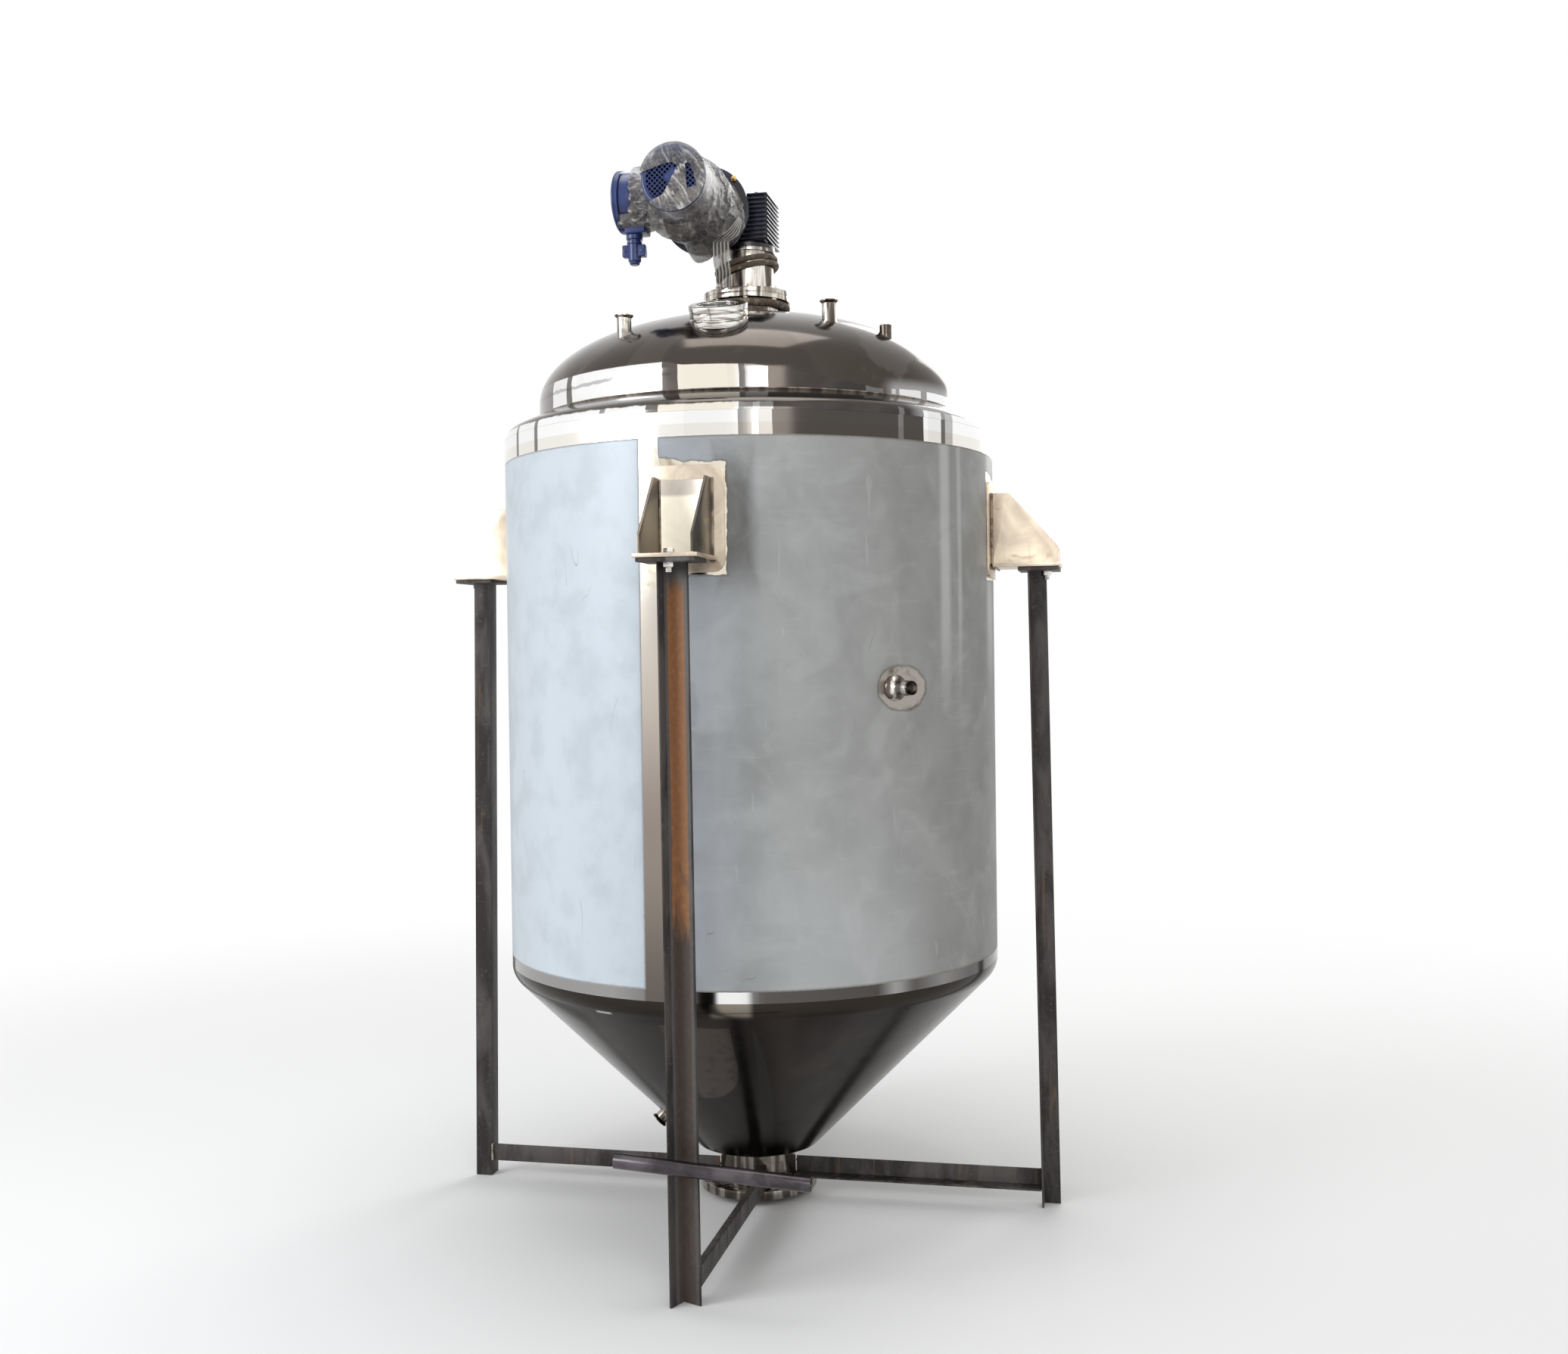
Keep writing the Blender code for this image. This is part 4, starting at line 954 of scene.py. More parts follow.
pickled_plate = make_plate_finish()
ring_steel = make_ring_steel()
fitting_steel = make_fitting_steel("fitting_steel", 0.0)
outlet_steel = make_fitting_steel("outlet_steel", 0.55)
print("Plate and fitting finishes ready")

# %% [markdown]
# ## Lugs and pads
# Each bracket is the model's own shape with a small radius on every edge, so that the
# plate edges catch the light. A bead runs down where each gusset meets the pad.

# %% Lugs
SIDES = {"front": -90.0, "right": 0.0, "rear": 90.0, "left": 180.0}
# the pad's outer face, the lug's back plate, and the bead under the base plate, from the axis
PAD_R, BACK_PLATE_R, BASE_BEAD_R = 0.7063, 0.7135, 0.7125
LUG_UNDER_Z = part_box("lug_front")[0].z
GUSSET_HALF, LUG_TOP = 0.066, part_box("lug_front")[1].z
BASE_HALF, BASE_T = 0.080, 0.010
GUSSET_HALF_T = 0.0045
for side, degrees in SIDES.items():
    turn = Matrix.Rotation(math.radians(degrees), 4, "Z")
    dress("lug_" + side, "bracket_" + side, 0.0012, pickled_plate, "polished_steel")
    dress("lug_pad_" + side, "pad_" + side, 0.0010, pickled_plate, "polished_steel", sharp=20)
    low = LUG_UNDER_Z + BASE_T + 0.002
    seams = []
    for hand in (-1, 1):
        y = hand * (GUSSET_HALF + GUSSET_HALF_T)
        x = math.sqrt(PAD_R**2 - y**2) + 0.002
        line = [(x, y, low), (x, y, LUG_TOP - 0.002)]
        seams.append(bead_along(f"gusset_bead_{side}_{hand}", line, turn, 0.0030, 0.0040))
        y = hand * (GUSSET_HALF - GUSSET_HALF_T)
        line = [(BACK_PLATE_R, y, low), (BACK_PLATE_R, y, LUG_TOP - 0.006)]
        seams.append(bead_along(f"back_bead_{side}_{hand}", line, turn, 0.0030, 0.0032))
    line = [(BASE_BEAD_R, hand * (BASE_HALF - 0.004), LUG_UNDER_Z - 0.001) for hand in (-1, 1)]
    seams.append(bead_along("base_bead_" + side, line, turn, 0.0030, 0.0035))
    hand_over(join("lug_beads_" + side, seams), bead_steel, "polished_steel", sharp=None)
print("Lugs dressed:", len(SIDES))

# %% [markdown]
# ## Angle iron
# The legs are rolled angle with its blue-black mill scale still on, rubbed bright along
# the edges and rusting where water ran down. The front leg shows an orange run of rust
# in its corner.

# %% Mill scale finishes
def make_mill_scale(name, rust_amount, rust_color=(0.15, 0.075, 0.036)):
    scale = Finish(name, metallic=0.45)
    cloud = scale.noise(6.0, 4.0, stretch=(3.0, 3.0, 0.7), distortion=0.6)
    grain = scale.noise(90.0, 4.0)
    run = scale.noise(9.0, 5.0, stretch=(4.0, 4.0, 0.35), distortion=0.8)
    color = scale.mix(cloud.fade(0.35, 0.65), (0.036, 0.031, 0.029), (0.098, 0.090, 0.086))
    color = scale.mix(grain.fade(0.56, 0.72) * 0.35, color, (0.17, 0.16, 0.155))
    rust = run.fade(0.62 - rust_amount * 0.12, 0.70 - rust_amount * 0.1)
    color = scale.mix(rust * (0.35 + 0.5 * rust_amount), color, rust_color)
    scale.feed(base_color=color, roughness=0.42 + grain * 0.25)
    scale.feed(metallic=0.55 - rust * 0.5)
    scale.feed(normal=scale.bump(grain * 0.6 + cloud, 0.0010, 0.55))
    return scale


def make_front_leg_finish():
    """Mill scale with bands down the inside of the angle and an orange run in its corner."""
    scale = Finish("front_leg_scale", metallic=0.35)
    cloud = scale.noise(6.0, 4.0, stretch=(3.0, 3.0, 0.7), distortion=0.6)
    grain = scale.noise(80.0, 4.0)
    drip = scale.noise(14.0, 5.0, stretch=(5.0, 5.0, 0.4), distortion=0.5) - 0.5
    # how far a point is along each flange from the leaning heel, in metres
    east = scale.x - 0.0045 + scale.z * 0.00826
    south = scale.y + 0.821 - scale.z * 0.01254
    right_flange = east * 0.9135 - south * 0.4067
    left_flange = east * -0.4067 - south * 0.9135
    across = right_flange - left_flange + drip * 0.006
    inside = right_flange.lowest(left_flange).fade(0.0035, 0.0045)
    color = scale.mix(cloud.fade(0.35, 0.65), (0.026, 0.022, 0.021), (0.070, 0.062, 0.058))
    color = scale.mix(grain.fade(0.58, 0.72) * 0.35, color, (0.15, 0.135, 0.125))
    grey = across.fade(-0.030, -0.026) * across.fade(0.049, 0.045) * inside
    color = scale.mix(grey * 0.75, color, scale.mix(grain, (0.085, 0.082, 0.080), (0.17, 0.165, 0.16)))
    band = across.fade(-0.021, -0.015) * across.fade(0.040, 0.034) * inside
    top = (scale.z + drip * 0.12).fade(1.76, 1.70)
    strong = (scale.z + drip * 0.25).fade(0.86, 0.96)
    orange = scale.mix(strong, (0.062, 0.042, 0.032), (0.27, 0.115, 0.042))
    crust = scale.mix(strong, (0.11, 0.072, 0.052), (0.42, 0.19, 0.070))
    orange = scale.mix(grain.fade(0.45, 0.7) * 0.40, orange, crust)
    orange = scale.mix(cloud.fade(0.60, 0.68) * 0.5, orange, (0.085, 0.070, 0.060))
    color = scale.mix(band * top * 0.92, color, orange)
    scale.feed(base_color=color, roughness=0.50 + grain * 0.2, metallic=0.45 - band * 0.45)
    scale.feed(normal=scale.bump(grain * 0.6 + cloud, 0.0010, 0.6))
    return scale


mill_scale = make_mill_scale("mill_scale", 0.35)
pipe_scale = Finish("pipe_scale", metallic=0.85)
pipe_mottle = pipe_scale.noise(16.0, 4.0, distortion=0.5)
pipe_color = pipe_scale.mix(pipe_mottle.fade(0.35, 0.65), (0.058, 0.050, 0.054), (0.125, 0.110, 0.122))
pipe_scale.feed(base_color=pipe_color, roughness=0.16 + pipe_mottle * 0.14)
pipe_scale.feed(normal=pipe_scale.bump(pipe_mottle, 0.0006, 0.3))
front_leg_scale = make_front_leg_finish()
print("Mill scale finishes ready")

# %% [markdown]
# ## Legs, braces and the cross pipe
# Three legs and their braces are the model's own angles. The front leg is made here: a
# smaller angle that stands turned about its heel, with its brace cut to meet it. A pipe
# lies across it low down.

# %% Legs, braces and the cross pipe
for side in ("right", "rear", "left"):
    for kind in ("leg_", "brace_"):
        dress(kind + side, "angle_" + kind + side, 0.0009, mill_scale, "mill_steel")

# the front leg is a 55 mm angle, turned about its heel, that leans a little to the left
IRON_T, FRONT_IRON, LEG_PLATE_T = 0.005, 0.055, 0.010
LEG_TOP_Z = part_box("leg_front")[1].z
HEEL_FOOT, HEEL_TOP = Vector((0.0045, -0.821, 0.0)), Vector((-0.010, -0.799, LEG_TOP_Z - IRON_T))
LEFT_FLANGE, RIGHT_FLANGE = Vector((-0.4067, -0.9135, 0.0)), Vector((0.9135, -0.4067, 0.0))


def angle_section(size, thick):
    return [(0, 0), (0, size), (thick, size), (thick, thick), (size, thick), (size, 0)]


rings = [
    [heel + LEFT_FLANGE * a + RIGHT_FLANGE * b for a, b in angle_section(FRONT_IRON, IRON_T)]
    for heel in (HEEL_FOOT, HEEL_TOP)
]
leg = edged(prism("front_angle", *rings), 0.0009)
plate_low, plate_high = (-0.073, -0.887, LEG_TOP_Z - LEG_PLATE_T), (0.073, -0.775, LEG_TOP_Z)
plate = rounded_block("front_leg_plate", plate_low, plate_high, 0.0010)
hand_over(join("angle_leg_front", [leg, plate]), front_leg_scale, "mill_steel", "leg_front")

# its brace runs beside the heel and is cut along the back of the turned flange
BRACE_LOW, BRACE_IRON, BRACE_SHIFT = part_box("brace_front")[0].z, 0.050, 0.030
rings = [[], []]
for inward, rise in angle_section(BRACE_IRON, IRON_T):
    x, z = BRACE_SHIFT + BRACE_IRON / 2 - inward, BRACE_LOW + rise
    heel = HEEL_FOOT.lerp(HEEL_TOP, z / HEEL_TOP.z)
    back = heel.y + (x - heel.x) * RIGHT_FLANGE.y / RIGHT_FLANGE.x
    rings[0].append(Vector((x, back + GAP, z)))
    rings[1].append(Vector((x, -OUTLET_NECK_R - GAP, z)))
brace = edged(prism("angle_brace_front", *rings), 0.0009)
hand_over(brace, mill_scale, "mill_steel", "brace_front")

PIPE_R, PIPE_WALL, PIPE_LENGTH, PIPE_TILT = 0.0185, 0.003, 0.480, math.radians(3.65)
pipe_middle = Vector((0.095, -0.888, 0.338))
pipe_place = Matrix.Translation(pipe_middle) @ Matrix.Rotation(math.pi / 2 + PIPE_TILT, 4, "Y")
half = PIPE_LENGTH / 2
pipe = lathe(
    "pipe",
    softened(
        [(PIPE_R - PIPE_WALL, -half), (PIPE_R, -half), (PIPE_R, half), (PIPE_R - PIPE_WALL, half)],
        0.0008,
        2,
    ),
    48,
    pipe_place,
)
hand_over(pipe, pipe_scale, "mill_steel", "cross_pipe")
print("Angle iron dressed")

# %% [markdown]
# ## Lug bolts and brace welds
# One bolt holds each leg's top plate under its lug, and each brace is welded to its leg
# and to the outlet neck. Both are small, but they show that the frame is held together.

# %% Lug bolts and brace welds
BOLT_R, HEX_R, WASHER_R = 0.008, 0.0138, 0.0160
# how far out from the axis the bolts and the welds at a brace's two ends are
BOLT_REACH, NECK_WELD_REACH, LEG_WELD_REACH = 0.850, 0.1120, 0.8180


def through_bolt(name, top, bottom):
    """A hexagon head and washer above a stack of plates, a nut and the shank's end below."""
    head = [(0.0, 0.0), (WASHER_R, 0.0), (WASHER_R, 0.0025), (HEX_R, 0.0026), (HEX_R, 0.011)]
    head += [(HEX_R - 0.002, 0.0125), (0.0, 0.0125)]
    nut = [(0.0, 0.0), (HEX_R, 0.0), (HEX_R, -0.0115), (HEX_R - 0.002, -0.013)]
    nut += [(BOLT_R, -0.013), (BOLT_R, -0.024), (0.0, -0.024)]
    parts = (("head", head, top), ("nut", nut, bottom))
    return join(name, [lathe(part, line, 6, Matrix.Translation((0, 0, z))) for part, line, z in parts])


bolts, welds = [], []
for side, degrees in SIDES.items():
    turn = Matrix.Rotation(math.radians(degrees), 4, "Z")
    bolt = through_bolt("bolt_" + side, LUG_UNDER_Z + BASE_T, LEG_TOP_Z - LEG_PLATE_T)
    bolt.data.transform(turn @ Matrix.Translation((BOLT_REACH, 0.0, 0.0)))
    bolts.append(bolt)
    shift = BRACE_SHIFT if side == "front" else 0.0
    inner_end = [(NECK_WELD_REACH, shift + y, BRACE_LOW + 0.0060) for y in (-0.023, 0.019)]
    welds.append(bead_along("neck_weld_" + side, inner_end, turn, 0.0030, 0.0036))
    if side != "front":
        outer_end = [(LEG_WELD_REACH, BRACE_IRON / 2, BRACE_LOW + rise) for rise in (0.002, 0.048)]
        welds.append(bead_along("leg_weld_" + side, outer_end, turn, 0.0034, 0.0050))
hand_over(join("lug_bolts", bolts), ring_steel, "mill_steel", sharp=30)
hand_over(join("brace_welds", welds), bead_steel, "mill_steel", sharp=None)
print("Bolts and welds", len(bolts), len(welds))

# %% [markdown]
# ## The studio
# A pale floor, a pale world that the camera, metal and glass see as white, and soft
# lamps with the strongest on the left, where the hall's windows were.

# %% Studio
def make_studio():
    ground = Finish("studio_floor", roughness=0.9)
    ground.feed(base_color=(0.86, 0.86, 0.86))
    # far away the floor turns into the white of the world, so that no horizon shows
    far = (ground.x * ground.x + ground.y * ground.y).root().fade(1.6, 5.5)
    rays = ground.node("LightPath", out="Is Camera Ray")
    for kind in ("Is Glossy Ray", "Is Transmission Ray"):
        rays = rays.highest(ground.node("LightPath", out=kind))
    white = ground.node("Emission", {}, {"Color": (1.0, 1.0, 1.0)})
    surface = ground.node(
        "MixShader", {}, {0: far * rays, 1: Socket(ground, ground.shader.outputs[0]), 2: white}
    )
    ground.plug(ground.tree.nodes["Material Output"].inputs["Surface"], surface)
    floor = mesh_piece("floor", [(-30, -30, 0), (30, -30, 0), (30, 30, 0), (-30, 30, 0)], [(0, 1, 2, 3)])
    floor.data.transform(Matrix.Translation((0, 0, -0.0005)))
    scene.collection.objects.link(floor)
    floor.data.materials.append(ground.material)

    world = bpy.data.worlds.new("studio_world")
    scene.world = world
    world.use_nodes = True
    nodes, links = world.node_tree.nodes, world.node_tree.links
    background = nodes["Background"]
    background.inputs["Color"].default_value = (1.0, 1.0, 1.0, 1.0)
    rays = nodes.new("ShaderNodeLightPath")
    seen = nodes.new("ShaderNodeMath")
    seen.operation = "MAXIMUM"
    links.new(rays.outputs["Is Camera Ray"], seen.inputs[0])
    links.new(rays.outputs["Is Glossy Ray"], seen.inputs[1])
    both = nodes.new("ShaderNodeMath")
    both.operation = "MAXIMUM"
    links.new(seen.outputs[0], both.inputs[0])
    links.new(rays.outputs["Is Transmission Ray"], both.inputs[1])
    level = nodes.new("ShaderNodeMapRange")
    level.inputs["To Min"].default_value = 0.62
    level.inputs["To Max"].default_value = 1.0
    links.new(both.outputs[0], level.inputs["Value"])
    links.new(level.outputs[0], background.inputs["Strength"])

    for name, place, width, watts, tint in (
        ("key_lamp", (-4.2, -4.2, 3.4), 2.6, 150.0, (0.95, 0.98, 1.0)),
        ("front_lamp", (2.2, -5.5, 3.6), 2.0, 40.0, (1.0, 0.98, 0.95)),
        ("rear_lamp", (1.5, 5.0, 4.0), 3.0, 90.0, (1.0, 0.99, 0.97)),
        ("top_lamp", (0.0, 0.0, 6.0), 2.5, 60.0, (1.0, 1.0, 1.0)),
    ):
        lamp = bpy.data.lights.new(name, "AREA")
        lamp.size, lamp.energy, lamp.color = width, watts, tint
        holder = bpy.data.objects.new(name, lamp)
        aim = Vector((0, 0, 1.3)) - Vector(place)
        holder.matrix_world = Matrix.Translation(place) @ aim.to_track_quat("-Z", "Y").to_matrix().to_4x4()
        scene.collection.objects.link(holder)


make_studio()
scene.view_settings.view_transform = "Standard"
print("Studio lit")

# %% [markdown]
# ## Outlet, head fittings and nozzles
# Flanges and ferrules are turned parts, so they come from the lathe, with their corners
# softened. The outlet flange has drilled holes, so there the model's own shape is kept.

# %% Outlet
neck_low, neck_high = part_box("outlet_neck")[0].z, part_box("outlet_neck")[1].z
NECK_WALL = 0.004
neck = lathe(
    "outlet_tube",
    softened(
        [
            (OUTLET_NECK_R - NECK_WALL, neck_low),
            (OUTLET_NECK_R, neck_low),
            (OUTLET_NECK_R, neck_high),
            (OUTLET_NECK_R - NECK_WALL, neck_high),
        ],
        0.0008,
        2,
    ),
    128,
)
hand_over(neck, outlet_steel, "polished_steel", "outlet_neck")
dress("outlet_flange", "outlet_ring", 0.0012, outlet_steel, "polished_steel")
print("Outlet made")

# %% [markdown]
# ## Head joint and nozzles
# A thin bead closes the joint of head and shoulder. Two ferrules and a threaded socket
# stand on the head, a threaded stub on the shell and a small ferrule on the cone.

# %% Head joint and nozzles
head_joint = lathe("head_joint", arc(VESSEL_R + 0.001, head_low - 0.0005, 0.0022, 0, 330, 10), ROUND_STEPS)
hand_over(head_joint, bead_steel, "polished_steel")


def head_height(radius):
    return HEAD_TANGENT + HEAD_DEPTH * math.sqrt(1 - (radius / VESSEL_R) ** 2)


def on_head(share, degrees, tilt=0.0):
    """A frame on the head's surface, leaning outward by the tilt."""
    a = math.radians(degrees)
    radius = share * VESSEL_R
    return (
        Matrix.Rotation(a, 4, "Z")
        @ Matrix.Translation((radius, 0, head_height(radius)))
        @ Matrix.Rotation(math.radians(tilt), 4, "Y")
    )


TUBE_R, TUBE_WALL, FERRULE_R, FERRULE_T = 0.019, 0.002, 0.02525, 0.0045


def ferrule(bottom, top):
    """A clamp ferrule: tube, flared lip and the gasket groove in its face."""
    bore = TUBE_R - TUBE_WALL
    return softened(
        [
            (bore, top),
            (bore + 0.0028, top),
            (bore + 0.0034, top - 0.0007),
            (bore + 0.0046, top - 0.0007),
            (bore + 0.0052, top),
            (FERRULE_R, top),
            (FERRULE_R, top - FERRULE_T * 0.6),
            (TUBE_R + 0.002, top - FERRULE_T * 1.4),
            (TUBE_R, top - FERRULE_T * 2),
            (TUBE_R, bottom),
            (bore, bottom),
        ],
        0.0004,
        2,
    )


def foot_bead(name, radius, place, slope=0.0):
    """A small weld round a tube's foot on the sloping head."""
    ring = lathe(name, arc(radius, 0.0, 0.0018, 0, 324, 8), 40)
    for vertex in ring.data.vertices:
        vertex.co.z -= vertex.co.x * slope
    ring.data.transform(place)
    return ring


for node, share, degrees, rise in (
    ("nozzle_left", 5 / 6, -117.8, 0.0507), ("nozzle_right", 11 / 15, -47.0, 0.053)
):
    place = on_head(share, degrees)
    stub = lathe("ferrule_" + node, ferrule(-0.022, rise), 48, place)
    slope = HEAD_DEPTH / VESSEL_R * share / math.sqrt(1 - share**2)
    weld = foot_bead(node + "_weld", TUBE_R + 0.0005, place, slope)
    hand_over(join("clamp_" + node, [stub, weld]), fitting_steel, "polished_steel", node)


def thread_inside(bore, top, pitch, depth, count):
    """The zigzag of a thread inside a bore, from the top down."""
    return [(bore + (depth if k % 2 else 0.0), top - k * pitch) for k in range(count)]


SOCKET_R, SOCKET_WALL, SOCKET_RISE = 0.0165, 0.004, 0.0277
place = on_head(5 / 6, -28.5)
bore = SOCKET_R - SOCKET_WALL
socket = lathe(
    "socket_body",
    [(bore, -0.020), (SOCKET_R, -0.020), (SOCKET_R, SOCKET_RISE - 0.001), (SOCKET_R - 0.001, SOCKET_RISE)]
    + [(bore + 0.0015, SOCKET_RISE)]
    + thread_inside(bore, SOCKET_RISE - 0.003, 0.0011, 0.0006, 16),
    48,
    place,
)
weld = foot_bead("socket_weld", SOCKET_R + 0.0005, place, 0.73)
hand_over(join("socket", [socket, weld]), fitting_steel, "polished_steel", "threaded_socket")


def outward(degrees, radius, height, pitch=0.0):
    """A frame whose Z points outward from the tank's side."""
    return (
        Matrix.Rotation(math.radians(degrees), 4, "Z")
        @ Matrix.Translation((radius, 0, height))
        @ Matrix.Rotation(math.pi / 2 + math.radians(pitch), 4, "Y")
    )


side_low, side_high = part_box("side_nozzle")
SIDE_REACH, BOSS_R = 0.070, 0.034
bore = TUBE_R - TUBE_WALL
side = lathe(
    "side_stub",
    [
        (bore, 0.0003),
        (BOSS_R, 0.0003),
        (BOSS_R - 0.001, 0.005),
        (BOSS_R - 0.005, 0.009),
        (TUBE_R + 0.005, 0.0175),
        (TUBE_R + 0.0015, 0.023),
        (TUBE_R, 0.028),
        (TUBE_R, SIDE_REACH - 0.0015),
        (TUBE_R - 0.001, SIDE_REACH),
        (bore + 0.0015, SIDE_REACH),
    ]
    + thread_inside(bore, SIDE_REACH - 0.004, 0.0012, 0.0007, 20),
    64,
    outward(-45.5, SHELL_R, (side_low.z + side_high.z) / 2),
)
hand_over(side, fitting_steel, "polished_steel", "side_nozzle")

CONE_STUB_R, CONE_STUB_Z = 0.2594, 0.237
cone_stub = lathe(
    "cone_ferrule", ferrule(0.0003, 0.040), 48, outward(-165.0, CONE_STUB_R, CONE_STUB_Z, CONE_SLOPE)
)
hand_over(cone_stub, fitting_steel, "polished_steel", "cone_nozzle")
print("Nozzles placed")

# %% [markdown]
# ## Sight glass
# A turned collar with a groove in it, which reads as two rings, stands on the head, and
# a clamp ring on top holds a thick glass disc. The glass is a solid with a finish that
# lets light through.

# %% Sight glass
SIGHT = on_head(0.77, -86.0, 20.0)
RING_R, SIGHT_NECK_R, PANE_R, PANE_T, BODY_TOP = 0.0775, 0.066, 0.055, 0.010, 0.022
body = lathe(
    "sight_collar",
    softened(
        [
            (PANE_R - 0.003, -0.050),
            (SIGHT_NECK_R + 0.004, -0.050),
            (SIGHT_NECK_R + 0.004, -0.016),
            (RING_R - 0.002, -0.014),
            (RING_R - 0.001, 0.0015),
            (SIGHT_NECK_R + 0.003, 0.003),
            (SIGHT_NECK_R + 0.003, 0.0065),
            (RING_R - 0.001, 0.008),
            (RING_R - 0.001, BODY_TOP),
            (PANE_R - 0.003, BODY_TOP),
        ],
        0.0010,
    ),
    96,
    SIGHT,
)
hand_over(body, ring_steel, "polished_steel", "sight_glass_body")
seat = BODY_TOP + GAP
lip = seat + 0.018
ring = lathe(
    "sight_clamp",
    softened(
        [
            (PANE_R + GAP, seat),
            (RING_R - 0.005, seat),
            (RING_R - 0.005, seat + 0.003),
            (RING_R, seat + 0.004),
            (RING_R, lip - 0.002),
            (RING_R - 0.002, lip),
            (PANE_R - 0.004, lip),
            (PANE_R - 0.004, seat + PANE_T + GAP),
            (PANE_R + GAP, seat + PANE_T + GAP),
        ],
        0.0008,
        2,
    ),
    96,
    SIGHT,
)
hand_over(ring, ring_steel, "polished_steel", "sight_glass_ring")

pane_glass = Finish("sight_pane_glass", roughness=0.04)
pane_glass.shader.inputs["Transmission Weight"].default_value = 0.85
pane_glass.shader.inputs["IOR"].default_value = 1.47
smear = pane_glass.noise(30.0, 4.0)
pane_glass.feed(base_color=pane_glass.mix(smear.fade(0.5, 0.7), (0.55, 0.60, 0.59), (0.36, 0.37, 0.35)))
pane = lathe(
    "sight_pane",
    solid_outline(
        [
            (PANE_R - 0.0006, seat),
            (PANE_R, seat + 0.0006),
            (PANE_R, seat + PANE_T - 0.0006),
            (PANE_R - 0.0006, seat + PANE_T),
        ]
    ),
    96,
    SIGHT,
)
hand_over(pane, pane_glass, "sight_glass", "sight_glass_pane")
print("Sight glass clamped")

# %% [markdown]
# ## Bolts
# The stirrer's flanges are held by a ring of bolts: a hexagon head and a washer above,
# and a washer and a nut with the end of the shank below.

# %% Bolt ring
def make_bolt_tree(finish):
    """Hexagon heads above and nuts below a stack of flanges, round a circle."""
    tree = Grower("bolt_ring", Count=8, Circle=0.1, Across=0.0095, Top=0.0, Bottom=-0.02, Turn=0.0)
    circle = tree.node(
        "MeshCircle",
        {"fill_type": "NONE"},
        {"Vertices": tree.value("Count"), "Radius": tree.value("Circle")},
    )
    across = tree.value("Across")

    def cylinder(sides, radius, depth):
        """A cylinder whose radius and depth are shares of the hexagon's size."""
        size = {"Radius": tree.times(across, radius), "Depth": tree.times(across, depth)}
        return tree.node("MeshCylinder", {}, {"Vertices": sides, **size})

    parts = []
    for level, sign, shank_depth, shank_lift in (("Top", 1.0, 0.7, 0.75), ("Bottom", -1.0, 1.6, 1.0)):
        hexagon = cylinder(6, 1.0, 0.75)
        washer = cylinder(16, 1.18, 0.2)
        shank = cylinder(12, 0.5, shank_depth)
        for shape, lift in ((washer, 0.10), (hexagon, 0.575), (shank, shank_lift)):
            rise = tree.math("ADD", tree.value(level), tree.times(across, sign * lift))
            parts.append(
                tree.node("Transform", {}, {"Geometry": shape, "Translation": tree.vector(z=rise)})
            )
    bolt = tree.node("JoinGeometry")
    for part in parts:
        tree.tree.links.new(part, bolt.node.inputs[0])
    placed = tree.node("InstanceOnPoints", {}, {"Points": circle, "Instance": bolt})
    spun = tree.node("Transform", {}, {"Geometry": placed, "Rotation": tree.vector(z=tree.value("Turn"))})
    tree.end(spun, finish)
    return tree


bolt_tree = make_bolt_tree(fitting_steel)
print("Bolt tree", bolt_tree.tree.name)

# %% [markdown]
# ## Stirrer flange and lantern
# The flange over the head's nozzle carries the lantern's own flange, with bolts through
# both. The two are turned here as hollow tubes, and meet a little lower than the model's.

# %% Agitator flanges and lantern
FLANGE_EDGE, FLANGE_T, FLANGE_DROP, NECK_R = 0.125, 0.014, 0.012, 0.100
flange_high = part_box("agitator_nozzle")[1].z - FLANGE_DROP
flange_low = flange_high - FLANGE_T
stool = lathe(
    "stirrer_flange",
    softened(
        [
            (NECK_R - 0.006, head_height(NECK_R) - 0.004),
            (NECK_R, head_height(NECK_R) - 0.004),
            (NECK_R, flange_low),
            (FLANGE_EDGE, flange_low),
            (FLANGE_EDGE, flange_high),
            (NECK_R - 0.006, flange_high),
        ],
        0.0012,
        2,
    ),
    96,
)
hand_over(stool, fitting_steel, "polished_steel", "agitator_nozzle")

LANTERN_R = 0.0775
lantern_low, lantern_high = flange_high + GAP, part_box("lantern")[1].z
lantern = lathe(
    "lantern_tube",
    softened(
        [
            (LANTERN_R - 0.007, lantern_low),
            (FLANGE_EDGE, lantern_low),
            (FLANGE_EDGE, lantern_low + FLANGE_T),
            (LANTERN_R + 0.006, lantern_low + FLANGE_T),
            (LANTERN_R, lantern_low + FLANGE_T + 0.006),
            (LANTERN_R, lantern_high - 0.010),
            (LANTERN_R + 0.006, lantern_high - 0.010),
            (LANTERN_R + 0.006, lantern_high),
            (LANTERN_R - 0.007, lantern_high),
        ],
        0.0010,
        2,
    ),
    96,
)
hand_over(lantern, fitting_steel, "polished_steel", "lantern")
bolts = bolt_tree.grow(
    "flange_bolts",
    Count=8,
    Circle=0.110,
    Across=0.0085,
    Top=lantern_low + FLANGE_T,
    Bottom=flange_low,
    Turn=math.radians(11),
)
hand_over(bolts, fitting_steel, "polished_steel", sharp=30)
print("Agitator flanges bolted")

# %% [markdown]
# ## Enamel
# Fan cover and terminal box are brushed with bright blue enamel, darkened partly as painted shade, the
# gearbox with the same enamel painted near black as painted shade. Both show brush streaks and patches of
# pale dust.

